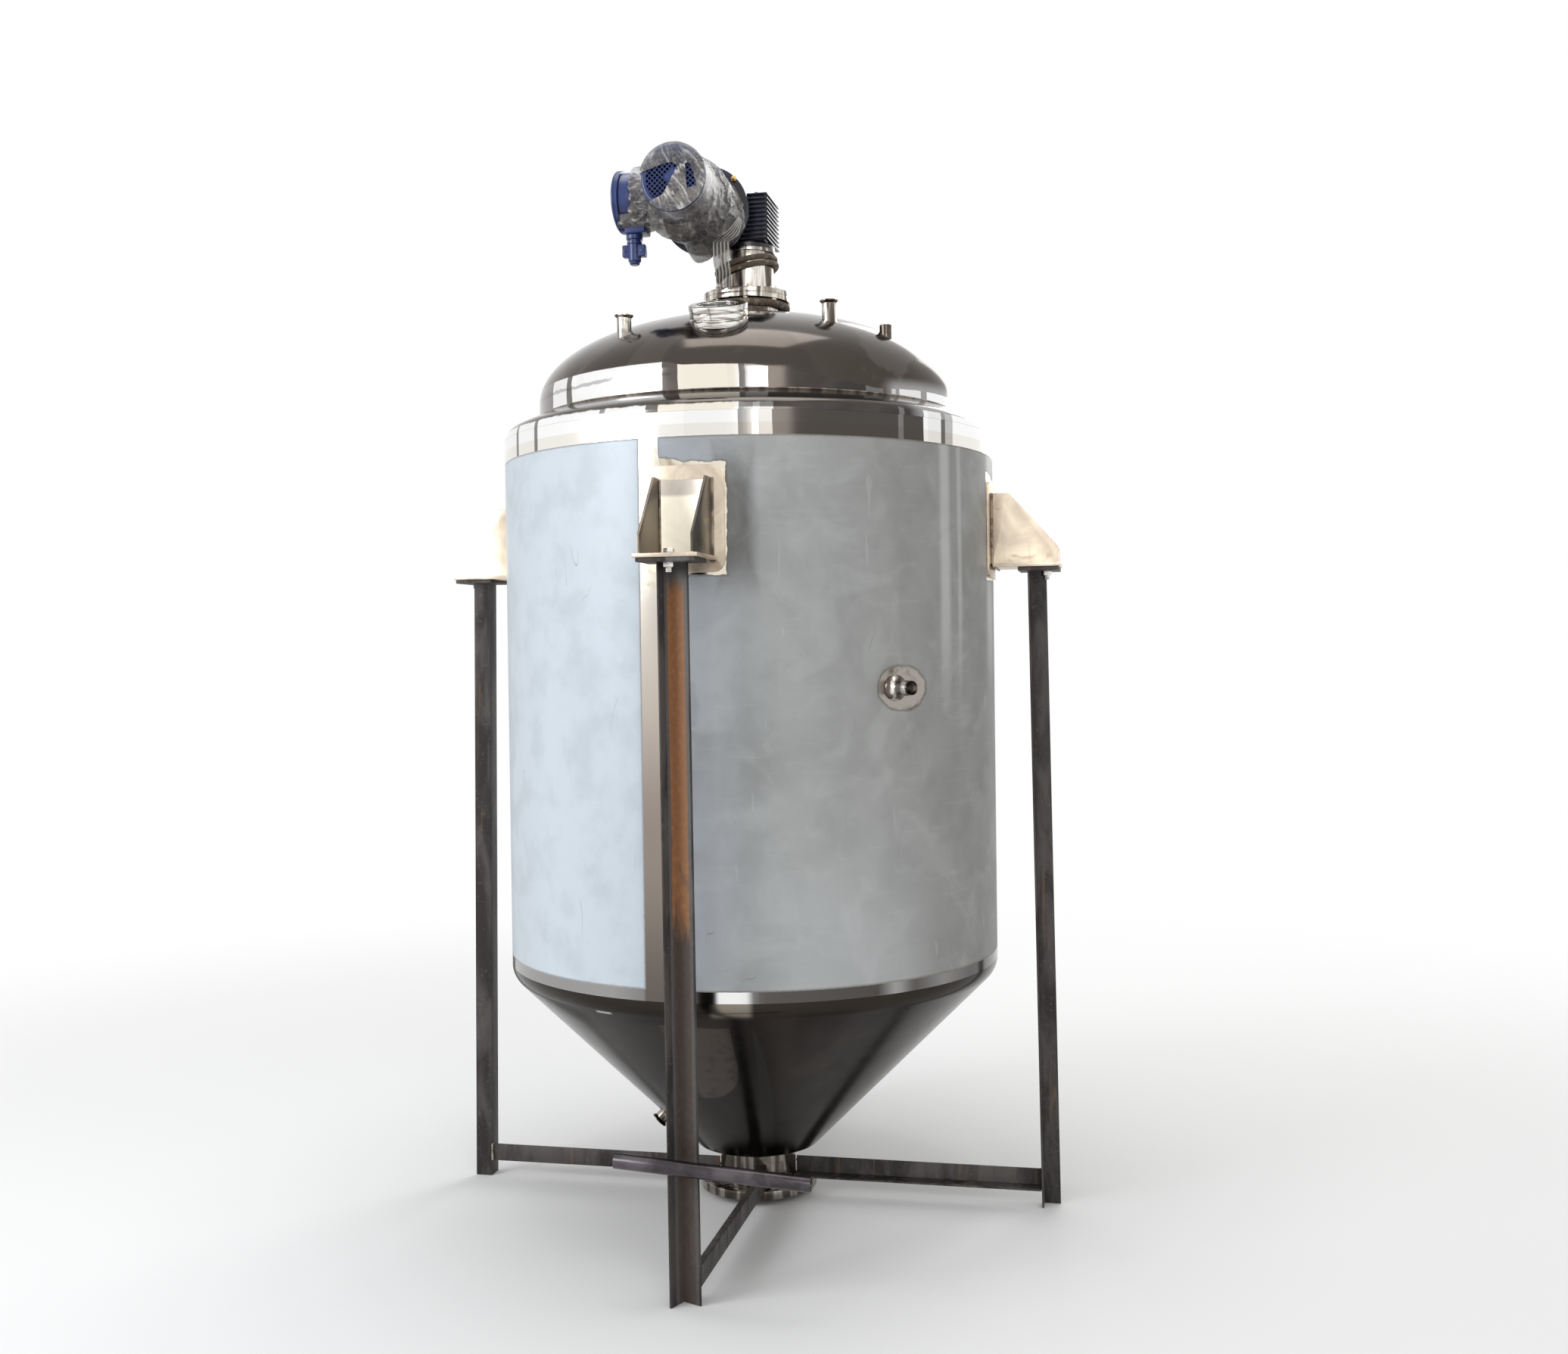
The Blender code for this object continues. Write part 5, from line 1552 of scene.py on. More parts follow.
# %% Enamel finishes
def make_enamel(name, deep, light, dusty):
    enamel = Finish(name, roughness=0.28)
    enamel.shader.inputs["Coat Weight"].default_value = 0.2
    enamel.shader.inputs["Coat Roughness"].default_value = 0.12
    cloud = enamel.noise(14.0, 4.0, distortion=0.5)
    streak = enamel.noise(120.0, 3.0, stretch=(1.0, 0.25, 1.0))
    speck = enamel.noise(160.0, 2.0)
    color = enamel.mix(cloud.fade(0.35, 0.65), deep, light)
    color = enamel.mix(speck.fade(0.66, 0.72) * dusty, color, (0.30, 0.29, 0.28))
    dust = enamel.noise(28.0, 5.0, distortion=0.8)
    color = enamel.mix(dust.fade(0.56, 0.74) * dusty, color, (0.21, 0.20, 0.20))
    enamel.feed(base_color=color, roughness=0.22 + cloud * 0.2 + dust.fade(0.56, 0.74) * 0.25)
    enamel.feed(normal=enamel.bump(streak * 0.4 + cloud, 0.0006, 0.5))
    return enamel


# the blue is darker than the bright enamel, partly as painted shade; the second enamel is painted near
# black as painted shade over the gearbox, its fittings and the input flange
blue_enamel = make_enamel("blue_enamel", (0.008, 0.020, 0.105), (0.015, 0.038, 0.170), 0.03)
dark_enamel = make_enamel("dark_enamel", (0.006, 0.007, 0.014), (0.010, 0.015, 0.042), 0.06)
print("Enamel finishes ready")

# %% [markdown]
# ## Gearbox and input flange
# The gearbox casting is a rounded core on a turned foot, with a stack of fins that shows
# on three sides. A turned cover, a breather and screws are laid on it. The input flange
# is a thick disc behind the motor.

# %% Gearbox
GEAR_LOW, GEAR_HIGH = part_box("gearbox")
BELL_LOW, BELL_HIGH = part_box("input_flange")
MOTOR_X, MOTOR_Z = -0.086, (BELL_LOW.z + BELL_HIGH.z) / 2
CASTING_DROP, FOOT_R = 0.076, 0.0815
FIN_T, FIN_COUNT, FIN_DEPTH, FIN_MARGIN = 0.004, 11, 0.010, 0.003
FIN_LEFT_X, FIN_RIGHT_X = -0.118, 0.081
casting_low = Vector((GEAR_LOW.x, GEAR_LOW.y + FIN_DEPTH, MOTOR_Z - CASTING_DROP))
casting_high = Vector((GEAR_HIGH.x - FIN_DEPTH, GEAR_HIGH.y - FIN_DEPTH, GEAR_HIGH.z))


def make_fin_tree(finish):
    """A stack of flat fins, one above the other."""
    tree = Grower("cooling_fins", Count=8, Pitch=0.013, Depth=0.012, Length=0.168, Thickness=0.004)
    stack = tree.node(
        "MeshLine",
        {"mode": "OFFSET"},
        {"Count": tree.value("Count"), "Offset": tree.vector(z=tree.value("Pitch"))},
    )
    fin = tree.node(
        "MeshCube",
        {},
        {"Size": tree.vector(tree.value("Depth"), tree.value("Length"), tree.value("Thickness"))},
    )
    placed = tree.node("InstanceOnPoints", {}, {"Points": stack, "Instance": fin})
    tree.end(placed, finish)
    return tree


fin_span = casting_high.z - casting_low.z - 2 * FIN_MARGIN
fins = make_fin_tree(dark_enamel).grow(
    "gear_fins",
    Count=FIN_COUNT,
    Pitch=(fin_span - FIN_T) / (FIN_COUNT - 1),
    Depth=FIN_RIGHT_X - FIN_LEFT_X,
    Thickness=FIN_T,
)
lowest_fin = ((FIN_RIGHT_X + FIN_LEFT_X) / 2, 0, casting_low.z + FIN_MARGIN + FIN_T / 2)
fins.data.transform(Matrix.Translation(lowest_fin))
foot_outline = [
    (FOOT_R, GEAR_LOW.z), (FOOT_R, casting_low.z - 0.002), (FOOT_R - 0.004, casting_low.z + 0.002)
]
foot = lathe("gear_foot", solid_outline(foot_outline), 96)
core = rounded_block("gear_core", casting_low, casting_high, 0.005)
gear = join("gear_casting", [core, foot, edged(fins, 0.0008, 1)])
hand_over(gear, dark_enamel, "blue_paint", "gearbox", sharp=40)


def along_motor(y):
    """A frame on the motor's axis whose Z points to the front."""
    return Matrix.Translation((MOTOR_X, y, MOTOR_Z)) @ Matrix.Rotation(math.pi / 2, 4, "X")


def towards(point, direction):
    """A frame at a point whose Z points along a direction."""
    return Matrix.Translation(point) @ Vector(direction).to_track_quat("Z", "Y").to_matrix().to_4x4()


def cap_screw(name, radius, height, place):
    """A domed screw head with a washer."""
    outline = [(0.0, 0.0), (radius * 1.35, 0.0), (radius * 1.35, height * 0.2), (radius, height * 0.22)]
    outline += [(radius, height * 0.85), (radius * 0.8, height), (0.0, height)]
    return lathe(name, outline, 20, place)


COVER_Y, COVER_SCREW_CIRCLE = 0.010, 0.032
cover_outline = [(0.0, 0.0), (0.040, 0.0), (0.040, 0.003), (0.037, 0.005), (0.026, 0.005), (0.024, 0.0035)]
cover_place = towards((GEAR_LOW.x, COVER_Y, MOTOR_Z), (-1, 0, 0))
small_parts = [lathe("bearing_cover", cover_outline + [(0.0, 0.0035)], 48, cover_place)]
for k in range(4):
    a = math.radians(45 + 90 * k)
    y, z = COVER_Y + COVER_SCREW_CIRCLE * math.cos(a), MOTOR_Z + COVER_SCREW_CIRCLE * math.sin(a)
    place = towards((GEAR_LOW.x - 0.0028, y, z), (-1, 0, 0))
    small_parts.append(cap_screw(f"cover_screw_{k}", 0.0035, 0.004, place))
on_top = GEAR_HIGH.z - 0.0002
for k, (x, y) in enumerate(((-0.115, 0.060), (0.045, 0.060), (0.045, -0.060), (-0.115, -0.060))):
    small_parts.append(cap_screw(f"top_screw_{k}", 0.0055, 0.005, Matrix.Translation((x, y, on_top))))
small_parts.append(cap_screw("breather", 0.009, 0.012, Matrix.Translation((0.010, 0.030, on_top))))
hand_over(join("gear_fittings", small_parts), dark_enamel, "blue_paint", sharp=30)

BELL_Y, BELL_LENGTH, DISC_T, BELL_R, DISC_R = -0.0843, 0.040, 0.018, 0.078, 0.125
disc = lathe(
    "motor_disc",
    [(0.0, 0.0)]
    + softened(
        [
            (0.0001, 0.0),
            (BELL_R, 0.0),
            (BELL_R, BELL_LENGTH - 0.008),
            (DISC_R, BELL_LENGTH),
            (DISC_R, BELL_LENGTH + DISC_T),
            (0.0001, BELL_LENGTH + DISC_T),
        ],
        0.0016,
        3,
    )[4:-4]
    + [(0.0, BELL_LENGTH + DISC_T)],
    96,
    along_motor(BELL_Y),
)
hand_over(disc, dark_enamel, "blue_paint", "input_flange")

brass = Finish("brass", metallic=1.0)
tarnish = brass.noise(60.0, 3.0)
brass.feed(
    base_color=brass.mix(tarnish.fade(0.4, 0.65), (0.72, 0.50, 0.20), (0.36, 0.24, 0.10)), roughness=0.28
)
plug_place = towards((0.0, -0.1425, 2.900), (0, -1, 0))
plug_hex = [(0.0, 0.0), (0.0085, 0.0), (0.0085, 0.006), (0.0075, 0.007), (0.0, 0.007)]
plug_tip = [(0.0, 0.006), (0.0048, 0.006), (0.0048, 0.016), (0.0035, 0.018), (0.0, 0.018)]
plug_parts = [lathe("plug_hex", plug_hex, 6, plug_place), lathe("plug_tip", plug_tip, 24, plug_place)]
plug = join("disc_plug", plug_parts)
hand_over(plug, brass, "polished_steel", sharp=30)
print("Gearbox dressed")

# %% [markdown]
# ## Motor, fan cover and grille
# The motor's ribbed barrel shows dimly through the film. The fan cover is a drawn cowl,
# and its grille is pressed from sheet: two families of bars that cross in diamonds, with
# a plain square in the middle.

# %% Motor and fan cover
dress("motor", "ribbed_motor", 0.0006, blue_enamel, "blue_paint")

fan_low, fan_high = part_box("fan_cover")
COVER_R, COVER_WALL, COVER_LENGTH, GRILLE_R = 0.088, 0.003, fan_high.y - fan_low.y, 0.074
fan_place = along_motor(fan_high.y)
cowl = lathe(
    "fan_cowl",
    [
        (COVER_R - COVER_WALL, 0.0),
        (COVER_R, 0.0),
        (COVER_R, COVER_LENGTH - 0.0095),
    ]
    + arc(COVER_R - 0.0085, COVER_LENGTH - 0.0085, 0.0085, 6, 84, 7)
    + [
        (GRILLE_R + 0.0022, COVER_LENGTH),
        (GRILLE_R, COVER_LENGTH - 0.0014),
        (GRILLE_R, COVER_LENGTH - COVER_WALL),
        (COVER_R - COVER_WALL, COVER_LENGTH - 0.0095),
    ],
    96,
    fan_place,
)


BAR_COUNT, BLADE_COUNT = 15, 9


def make_grille_tree(finish):
    """Two families of bars across a disc, each as long as its chord, and a centre plate."""
    tree = Grower(
        "pressed_grille", Disc=GRILLE_R + 0.001, Pitch=0.0098, Bar=0.0026, Thickness=0.0014, Plate=0.034
    )
    disc, pitch, bar = tree.value("Disc"), tree.value("Pitch"), tree.value("Bar")
    thick = tree.value("Thickness")
    first = tree.times(pitch, -(BAR_COUNT - 1) / 2)
    spacing = tree.node(
        "MeshLine",
        {"mode": "OFFSET"},
        {"Count": BAR_COUNT, "Start Location": tree.vector(first), "Offset": tree.vector(pitch)},
    )
    here = tree.node("InputPosition")
    across = tree.node("ShaderNodeSeparateXYZ", {}, {0: here})
    left = tree.math("SUBTRACT", tree.times(disc, disc), tree.times(across, across))
    chord = tree.math("SQRT", tree.math("MAXIMUM", left, 0.000001))
    stick = tree.node("MeshCube", {}, {"Size": tree.vector(bar, 2.0, thick)})
    bars = tree.node(
        "InstanceOnPoints",
        {},
        {"Points": spacing, "Instance": stick, "Scale": tree.vector(1.0, chord, 1.0)},
    )
    centre = tree.node(
        "MeshCube",
        {},
        {"Size": tree.vector(tree.value("Plate"), tree.value("Plate"), tree.times(thick, 1.15))},
    )
    both = tree.node("JoinGeometry")
    for turn, lift in ((45.0, 0.0), (135.0, 0.0002)):
        place = {"Rotation": tree.vector(z=math.radians(turn)), "Translation": tree.vector(z=lift)}
        leaned = tree.node("Transform", {}, {"Geometry": bars, **place})
        tree.tree.links.new(leaned, both.node.inputs[0])
    plate = tree.node("Transform", {}, {"Geometry": centre, "Rotation": tree.vector(z=math.radians(45.0))})
    tree.tree.links.new(plate, both.node.inputs[0])
    tree.end(both, finish)
    return tree


grille = make_grille_tree(blue_enamel).grow("grille_bars")
grille.data.transform(fan_place @ Matrix.Translation((0, 0, COVER_LENGTH - 0.0018)))
hand_over(join("fan_cowl_and_grille", [cowl, grille]), blue_enamel, "blue_paint", "fan_cover")


def fan_blade(index):
    """One paddle of the plastic cooling fan behind the grille."""
    spin = Matrix.Rotation(2 * math.pi * index / BLADE_COUNT, 4, "Z")
    turn = spin @ Matrix.Rotation(math.radians(28), 4, "X")
    low, high, half = 0.018, 0.066, 0.0012
    corners = [(x, y, z) for x in (low, high) for y in (-half, half) for z in (-0.012, 0.012)]
    faces = [(0, 1, 3, 2), (4, 6, 7, 5), (0, 4, 5, 1), (2, 3, 7, 6), (0, 2, 6, 4), (1, 5, 7, 3)]
    blade = mesh_piece(f"blade_{index}", corners, faces)
    blade.data.transform(fan_place @ Matrix.Translation((0, 0, COVER_LENGTH - 0.030)) @ turn)
    return blade


black_plastic = Finish("black_plastic")
scuff = black_plastic.noise(45.0, 3.0)
black_plastic.feed(
    base_color=black_plastic.mix(scuff, (0.010, 0.012, 0.020), (0.022, 0.024, 0.034)),
    roughness=0.4 + scuff * 0.2,
)
hub = lathe(
    "fan_hub",
    [
        (0.0, 0.010), (0.022, 0.010), (0.022, COVER_LENGTH - 0.014), (0.018, COVER_LENGTH - 0.010),
        (0.0, COVER_LENGTH - 0.010),
    ],
    32,
    fan_place,
)
back = lathe("fan_back", [(0.0, 0.004), (0.083, 0.004), (0.083, 0.008), (0.0, 0.008)], 48, fan_place)
fan = join("cooling_fan", [hub, back] + [fan_blade(k) for k in range(BLADE_COUNT)])
hand_over(fan, black_plastic, "blue_paint", sharp=30)
print("Fan cover and grille made")

# %% [markdown]
# ## Terminal box and cable gland
# A round cast box on a short neck, its lid a thick disc that faces left. The gland hangs
# under it with a clamp of two ears.

# %% Terminal box
TERMINAL_Y = -0.272
LID_FACE_X = -0.299
REACH = MOTOR_X - LID_FACE_X
BODY_R, BOX_NECK_R, LID_R, LID_T, LID_SCREW_CIRCLE = 0.078, 0.050, 0.085, 0.022, 0.062


def sideways():
    """A frame on the motor's axis whose Z points left, to the terminal box."""
    return Matrix.Translation((MOTOR_X, TERMINAL_Y, MOTOR_Z)) @ Matrix.Rotation(-math.pi / 2, 4, "Y")


face = REACH - LID_T - GAP
gland_bottom, gland_top = MOTOR_Z - 0.174, MOTOR_Z - 0.0923
entry_boss = rounded_block(
    "entry_boss",
    (LID_FACE_X + 0.024, TERMINAL_Y - 0.030, gland_top + GAP),
    (LID_FACE_X + 0.084, TERMINAL_Y + 0.030, MOTOR_Z - 0.040),
    0.006,
)
box = lathe(
    "terminal_drum",
    [
        (0.0, 0.0803),
        (BOX_NECK_R + 0.003, 0.0803),
        (BOX_NECK_R, 0.086),
        (BOX_NECK_R, face - 0.049),
        (BOX_NECK_R + 0.004, face - 0.0455),
        (BODY_R - 0.004, face - 0.036),
        (BODY_R, face - 0.030),
        (BODY_R, face - 0.0012),
        (BODY_R - 0.0012, face),
        (0.0, face),
    ],
    96,
    sideways(),
)
hand_over(join("terminal_body", [box, entry_boss]), blue_enamel, "blue_paint", "terminal_box")
lid_parts = [
    lathe(
        "lid_disc",
        [
            (0.0, REACH - LID_T),
            (LID_R - 0.001, REACH - LID_T),
            (LID_R, REACH - LID_T + 0.001),
            (LID_R, REACH - 0.0125),
            (LID_R - 0.0012, REACH - 0.0113),
            (LID_R - 0.0012, REACH - 0.0103),
            (LID_R, REACH - 0.0091),
            (LID_R - 0.0012, REACH - 0.006),
            (LID_R - 0.005, REACH - 0.0032),
            (LID_R - 0.014, REACH - 0.0010),
            (LID_R - 0.016, REACH - 0.0024),
            (0.0, REACH - 0.0024),
        ],
        96,
        sideways(),
    )
]
for k in range(4):
    a = math.radians(45 + 90 * k)
    on_lid = (LID_SCREW_CIRCLE * math.cos(a), LID_SCREW_CIRCLE * math.sin(a), REACH - 0.0035)
    place = sideways() @ Matrix.Translation(on_lid)
    lid_parts.append(cap_screw(f"lid_screw_{k}", 0.0042, 0.0034, place))
hand_over(join("box_lid", lid_parts), blue_enamel, "blue_paint", "terminal_lid", sharp=30)
earth = cap_screw("earth_screw", 0.0036, 0.006, towards((LID_FACE_X + 0.002, -0.277, 2.860), (-1, 0, 0)))
hand_over(earth, brass, "polished_steel", sharp=30)

GLAND_X = LID_FACE_X + 0.045
GLAND_R = 0.018
EAR_Z, EAR_HALF_T, EAR_HALF_HEIGHT = gland_bottom + 0.038, 0.0119, 0.0165
gland_outline = [
    (0.0, gland_bottom),
    (0.011, gland_bottom),
    (0.0135, gland_bottom + 0.002),
    (GLAND_R - 0.003, gland_bottom + 0.008),
    (GLAND_R, gland_bottom + 0.011),
    (GLAND_R, EAR_Z + 0.018),
    (GLAND_R + 0.003, EAR_Z + 0.019),
    (GLAND_R + 0.003, gland_top - 0.018),
    (GLAND_R - 0.001, gland_top - 0.017),
    (GLAND_R - 0.001, gland_top - 0.013),
    (GLAND_R + 0.005, gland_top - 0.012),
    (GLAND_R + 0.005, gland_top - 0.001),
    (GLAND_R + 0.004, gland_top),
    (0.0, gland_top),
]
gland_parts = [lathe("gland_tube", gland_outline, 40, Matrix.Translation((GLAND_X, TERMINAL_Y, 0)))]
for hand in (-1, 1):
    inner, outer = sorted((GLAND_X + hand * 0.011, GLAND_X + hand * 0.033))
    ear_low = (inner, TERMINAL_Y - EAR_HALF_T, EAR_Z - EAR_HALF_HEIGHT)
    ear_high = (outer, TERMINAL_Y + EAR_HALF_T, EAR_Z + EAR_HALF_HEIGHT)
    gland_parts.append(rounded_block("ear", ear_low, ear_high, 0.004))
    place = towards((GLAND_X + hand * 0.0250, TERMINAL_Y - 0.0112, EAR_Z), (0, -1, 0))
    gland_parts.append(cap_screw("ear_screw", 0.0044, 0.0030, place))
hand_over(join("box_gland", gland_parts), blue_enamel, "blue_paint", "cable_gland", sharp=35)
print("Terminal box and gland made")

# %% [markdown]
# ## Ropes
# Two three-strand ropes are lashed round the lantern and its neck. The tree walks a
# closed ring, carries three points round it in a spiral, and sweeps a round section
# along each. The number of turns is whole, so every strand closes on itself.

# %% Rope tree
def make_rope_tree(finish):
    tree = Grower("laid_rope", Strand=0.0062, Spread=0.0056, Twists=22.0, Radius=0.09)
    ring = tree.node(
        "CurvePrimitiveCircle", {"mode": "RADIUS"}, {"Resolution": 240, "Radius": tree.value("Radius")}
    )
    normal = tree.node("InputNormal")
    tangent = tree.node("InputTangent")
    side = tree.node("ShaderNodeVectorMath", {"operation": "CROSS_PRODUCT"}, {0: tangent, 1: normal})
    along = tree.node("SplineParameter")
    profile = tree.node(
        "CurvePrimitiveCircle", {"mode": "RADIUS"}, {"Resolution": 10, "Radius": tree.value("Strand")}
    )
    rope = tree.node("JoinGeometry")
    for strand in range(3):
        turn = tree.math("MULTIPLY_ADD", along, tree.times(tree.value("Twists"), 2 * math.pi))
        turn.node.inputs[2].default_value = strand * 2 * math.pi / 3
        offsets = []
        for direction, wave in ((normal, "COSINE"), (side, "SINE")):
            reach = tree.times(tree.math(wave, turn), tree.value("Spread"))
            scaled = {0: direction, "Scale": reach}
            offsets.append(tree.node("ShaderNodeVectorMath", {"operation": "SCALE"}, scaled))
        move = tree.node("ShaderNodeVectorMath", {"operation": "ADD"}, dict(enumerate(offsets)))
        moved = tree.node("SetPosition", {}, {"Geometry": ring, "Offset": move})
        swept = tree.node("CurveToMesh", {}, {"Curve": moved, "Profile Curve": profile})
        tree.tree.links.new(swept, rope.node.inputs[0])
    tree.end(rope, finish)
    return tree


rope_fibre = Finish("brown_rope", roughness=0.85)
fuzz = rope_fibre.noise(260.0, 3.0)
# pale patches: partly wear on the fibres, partly painted highlights on the strands
wear = rope_fibre.noise(35.0, 4.0, distortion=0.6)
rope_color = rope_fibre.mix(fuzz, (0.060, 0.042, 0.028), (0.20, 0.150, 0.105))
rope_color = rope_fibre.mix(wear.fade(0.50, 0.66) * 0.6, rope_color, (0.42, 0.36, 0.29))
rope_fibre.feed(base_color=rope_color, roughness=0.75 + fuzz * 0.2)
rope_fibre.feed(normal=rope_fibre.bump(fuzz, 0.0010, 0.8))
rope_fibre.shader.inputs["Sheen Weight"].default_value = 0.2
rope_tree = make_rope_tree(rope_fibre)
for node, radius, strand, twists, tilt, rises in (
    ("rope_upper", 0.0857, 0.0040, 30.0, -13.0, (0.009, -0.009)),
    ("rope_lower", 0.1128, 0.0056, 26.0, 0.0, (-FLANGE_DROP,)),
):
    low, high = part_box(node)
    turns = []
    for rise in rises:
        coil = rope_tree.grow("turn", Radius=radius, Strand=strand, Spread=strand * 1.02, Twists=twists)
        place = Matrix.Translation((low + high) / 2) @ Matrix.Rotation(math.radians(tilt), 4, "Y")
        coil.data.transform(place @ Matrix.Translation((0, 0, rise)))
        turns.append(coil)
    ring = reworked(join("lashing_" + node, turns), merge_points, face_outward)
    hand_over(ring, rope_fibre, "rope", node, sharp=None)

# %% [markdown]
# ## Stretch film
# The drive came wrapped in stretch film, and most of it is still there: a crumpled skin
# round the motor with a sagging pocket below, a hood over the fan grille with two torn
# windows, a web round the terminal neck and a gathered tail that hangs in front of the
# lantern. Each is a thin sheet laid out as rows and columns. Creases are ridges of
# noise, and each point keeps its ridge height as an attribute, so the finish can
# paint highlights on exactly the folds that the mesh has.

# %% Film finish
def make_film_finish():
    film = Finish("crumpled_stretch_film", roughness=0.2)
    crease = film.node("Attribute", {"attribute_name": "crease"}, out="Fac")
    cloud = film.noise(16.0, 4.0, distortion=0.8)
    fine = film.noise(34.0, 4.0, stretch=(1.0, 0.45, 1.6), distortion=0.9)
    # painted highlights: fold crests and fine wrinkles are paler and more opaque
    wrinkle = (fine - 0.5).size().fade(0.035, 0.0)
    fold = crease.fade(0.45, 0.95)
    pale = fold.highest(wrinkle * 0.35)
    color = film.mix(cloud.fade(0.35, 0.65), (0.115, 0.104, 0.095), (0.235, 0.215, 0.195))
    color = film.mix(pale, color, (0.62, 0.60, 0.57))
    high = film.z.fade(2.84, 2.90)
    color = film.mix(high * 0.5, color, (0.24, 0.27, 0.34))
    film.feed(base_color=color, roughness=0.18 + cloud * 0.2)
    film.feed(alpha=0.52 + cloud.fade(0.35, 0.7) * 0.18 + pale * 0.25)
    film.feed(normal=film.bump(fine + cloud, 0.0015, 0.7))
    return film


stretch_film = make_film_finish()
print("Film finish ready")

# %% [markdown]
# ## Film sheets
# Each sheet has a function that says where a point lies and how high its crease is, from
# two shares that run across and along it, and one that says which of it is still there.

# %% Film sheets
FACE_Y, DISC_Y = fan_low.y, -0.1426
# radii of the skin at its front, of the hood and of the tightest skin
SKIN_FRONT_R, HOOD_R, TIGHT_R = 0.0915, 0.0905, 0.0888
# how far back the skin starts to widen, and where the web starts and how long it is
FLARE_START, WEB_START, WEB_LENGTH = 0.075, 0.086, 0.119


def ridge(x, y, z=0.0):
    """1 on the crest of a crease and 0 away from it, from two sizes of noise."""
    big = 1 - min(1, abs(noise.noise((x, y, z))) * 3.2)
    small = 1 - min(1, abs(noise.noise((x * 2.3 + 7, y * 2.3, z + 3))) * 3.2)
    return big * 0.65 + small * 0.35


def film_sheet(name, rows, columns, point, keep=None, closed=False):
    """A sheet whose points come from point(u, v), both 0 to 1, as (position, crease)."""
    vertices, creases = [], []
    count = columns if closed else columns + 1
    for row in range(rows + 1):
        for column in range(count):
            position, crease = point(column / columns, row / rows)
            vertices.append(position)
            creases.append(crease)
    faces = []
    for row in range(rows):
        for column in range(columns):
            after = (column + 1) % count
            low, high = row * count, (row + 1) * count
            corners = (low + column, low + after, high + after, high + column)
            middle = ((column + 0.5) / columns, (row + 0.5) / rows)
            if keep is None or keep(*middle):
                faces.append(corners)
    sheet = mesh_piece(name, vertices, faces)
    layer = sheet.data.attributes.new("crease", "FLOAT", "POINT")
    layer.data.foreach_set("value", creases)
    return reworked(sheet, drop_loose_points)


def declare_film(sheet, *rests_on, nodes=()):
    """Hand a film sheet over as the piece that stands for its nodes."""
    hand_over(sheet, stretch_film, "stretch_film", *nodes, sharp=None)


def bell(value, centre, width):
    return math.exp(-(((value - centre) / width) ** 2))


def turn_gap(a, b):
    """Signed difference of two angles in degrees."""
    return (a - b + 180) % 360 - 180


SKIN_LENGTH = DISC_Y - 0.0012 - FACE_Y
# rear edge of the film: how far it reaches out over the flange's front face, by angle
REAR_REACH = [
    (-180, 0.104), (-125, 0.104), (-100, 0.112), (-60, 0.118), (-25, 0.120), (0, 0.106), (30, 0.100),
    (45, 0.098), (64, 0.116), (90, 0.115), (130, 0.106), (180, 0.104),
]
# pockets where the film hangs loose: angle, distance from the front, extra radius, widths
POCKETS = [
    (-138, 0.130, 0.034, 24, 0.055),
    (-112, 0.190, 0.022, 26, 0.055),
    (-92, 0.292, 0.044, 19, 0.034),
    (60, 0.240, 0.006, 40, 0.080),
    (-40, 0.220, 0.008, 30, 0.090),
]


def skin_radius(degrees, reach):
    rear = np.interp(degrees, [a for a, _ in REAR_REACH], [r for _, r in REAR_REACH])
    share = max(0.0, min(1.0, (reach - FLARE_START) / (SKIN_LENGTH - FLARE_START)))
    radius = SKIN_FRONT_R + (rear - SKIN_FRONT_R) * share**1.4
    for angle, at, extra, turn_width, length in POCKETS:
        radius += extra * bell(turn_gap(degrees, angle), 0, turn_width) * bell(reach, at, length)
    return radius


def skin_point(u, v):
    degrees = -180 + 360 * u
    a = math.radians(degrees)
    reach = 0.001 + (SKIN_LENGTH - 0.001) * v
    radius = skin_radius(degrees, reach)
    # creases fan out from the gathered place by the terminal neck
    gather = Vector((math.radians(turn_gap(degrees, -148)) * 0.1, reach - 0.135))
    fan = math.atan2(gather.y, gather.x)
    x, y = math.cos(a), math.sin(a)
    radial = ridge(fan * 3.2 + 11, gather.length * 9, x * 0.8)
    general = ridge(x * 4.2 + reach * 9, y * 4.2 + reach * 4, reach * 14)
    crest = radial * 0.5 + general * 0.5
    loose = min(1.0, max(0.10, (reach - 0.06) / 0.10))
    radius += (crest * 0.0085 + noise.noise((x * 2, y * 2, reach * 12)) * 0.004) * loose
    radius = max(radius, TIGHT_R)
    return along_motor(FACE_Y) @ Vector((radius * x, radius * y, -reach)), crest


def skin_keep(u, v):
    degrees, reach = -180 + 360 * u, SKIN_LENGTH * v
    ragged = noise.noise((degrees * 0.06, reach * 40, 5.0)) * 0.006
    if 171 < degrees % 360 < 224 and reach < 0.046 + ragged:
        return False
    neck = math.hypot(math.radians(turn_gap(degrees, 180)) * 0.094, reach - (TERMINAL_Y - FACE_Y))
    if neck < 0.056 + ragged:
        return False
    if reach > SKIN_LENGTH - 0.010 - abs(ragged) * 2.5 and -150 > degrees:
        return False
    return True


skin = film_sheet("film_skin", 120, 210, skin_point, skin_keep, closed=True)
declare_film(skin, "fan_cowl_and_grille", "motor_disc", nodes=("film_wrap",))

# the hood over the grille and its two windows, in metres from the middle of the face
WINDOWS = (
    [
        (-0.095, 0.012), (-0.036, 0.030), (-0.002, 0.037), (0.015, 0.027), (-0.002, -0.004),
        (-0.025, -0.046), (-0.074, -0.067), (-0.097, -0.075),
    ],
    [(0.036, 0.030), (0.046, 0.032), (0.059, 0.004), (0.065, -0.027), (0.040, -0.034), (0.037, -0.002)],
)


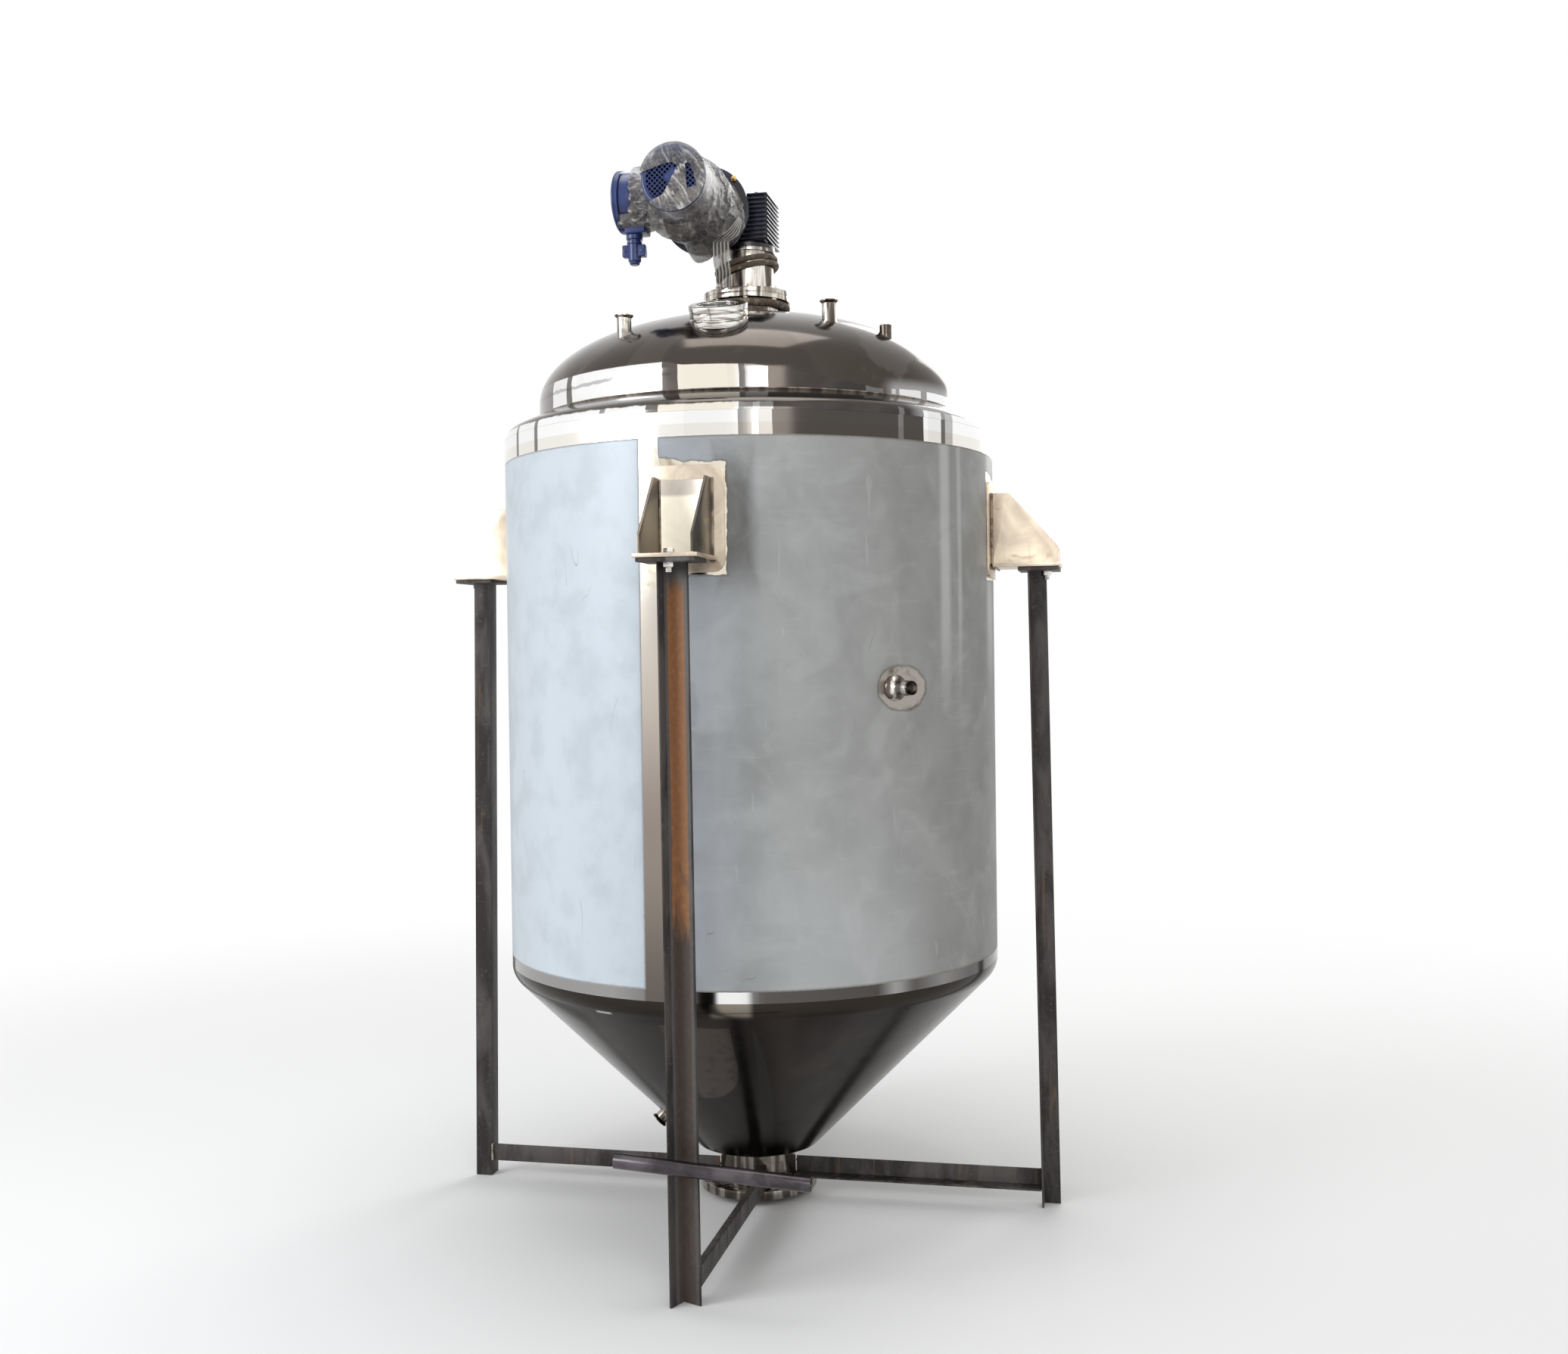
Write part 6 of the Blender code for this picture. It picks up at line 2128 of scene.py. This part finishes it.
def in_polygon(x, y, polygon):
    inside = False
    for (ax, ay), (bx, by) in zip(polygon, polygon[1:] + polygon[:1]):
        if (ay > y) != (by > y) and x < ax + (y - ay) / (by - ay) * (bx - ax):
            inside = not inside
    return inside


def hood_point(u, v):
    degrees = 360 * u
    a = math.radians(degrees)
    radius = HOOD_R * (1 - v) + 0.0008 * v
    x, y = radius * math.cos(a), radius * math.sin(a)
    crest = ridge(x * 34 + y * 22, y * 9 - x * 6, 2.0)
    lift = 0.0018 + crest * 0.0035 * min(1, (HOOD_R - radius) / 0.01)
    lift += 0.0012 * (noise.noise((x * 30, y * 30, 1.0)) + 1)
    return along_motor(FACE_Y) @ Vector((x, y, lift)), crest


def hood_keep(u, v):
    a = 2 * math.pi * u
    radius = HOOD_R * (1 - v)
    x, y = radius * math.cos(a), radius * math.sin(a)
    x += noise.noise((x * 120, y * 120, 9.0)) * 0.0012
    return not any(in_polygon(x, y, window) for window in WINDOWS)


hood = film_sheet("film_hood", 60, 240, hood_point, hood_keep, closed=True)
declare_film(hood, "fan_cowl_and_grille")


# the web round the terminal neck, and the rag that hangs on the box's lower half
def web_point(u, v):
    a = 2 * math.pi * u
    reach = WEB_START + WEB_LENGTH * v
    upper = max(0.0, -math.sin(a + 0.3))
    radius = 0.074 + 0.006 * v + (0.0065 * upper + 0.0025) * min(1, v * 2)
    radius += 0.012 * (1 - v) ** 2 * upper
    crest = ridge(math.cos(a) * 5 + 3, math.sin(a) * 5, reach * 26)
    radius += crest * 0.0045 + 0.001
    radius = max(radius, 0.0795) if reach > 0.160 else radius
    # in this frame X is up and Y to the rear, so a is 0 at the rear and a quarter turn below
    return sideways() @ Vector((-radius * math.sin(a), radius * math.cos(a), reach)), crest


def web_keep(u, v):
    a = 2 * math.pi * u
    reach = WEB_START + WEB_LENGTH * v
    ragged = noise.noise((a * 4, 3.0, 1.0)) * 0.012
    return reach < 0.157 + ragged or (math.sin(a + 0.25) > 0.35 and reach < 0.200 + ragged)


web = film_sheet("film_web", 40, 110, web_point, web_keep, closed=True)
declare_film(web, "terminal_body", "film_skin")


def tail_point(u, v):
    """The gathered end of the film: over the skin's right side, then hanging by the lantern."""
    reach, lap = 0.262, 0.35
    share = min(1.0, v / lap)
    degrees = -22.0 - 38.0 * share
    radius = skin_radius(degrees, reach) + 0.012
    a = math.radians(degrees)
    start = along_motor(FACE_Y) @ Vector((radius * math.cos(a), radius * math.sin(a), -reach))
    fall = max(0.0, v - lap) / (1 - lap)
    middle = start + Vector((-0.012 * fall, 0.086 * fall**1.3, -0.125 * fall))
    width = 0.036 + 0.010 * math.sin(math.pi * v)
    across = Vector((0, 1, 0)).lerp(Vector((1, 0.15, 0)), share).normalized()
    pleat = math.sin(u * 2 * math.pi * 4.5 + noise.noise((v * 3, 1.0, 8.0)) * 1.5)
    out = Vector((math.cos(a), 0, math.sin(a))).lerp(Vector((0, -1, 0)), share)
    sway = noise.noise((v * 6, 4.0, 2.0)) * 0.004
    return middle + across * ((u - 0.5) * width + sway) + out * (pleat * 0.0035), 0.5 + 0.5 * pleat


def tail_keep(u, v):
    return v < 0.92 + noise.noise((u * 7, 2.0, 6.0)) * 0.12


tail = film_sheet("film_tail", 60, 60, tail_point, tail_keep)
declare_film(tail, "film_skin", "motor_disc")

# %% [markdown]
# ## Pieces
# The number of pieces made is printed.

# %% Pieces made
print("Pieces", len(pieces_made))
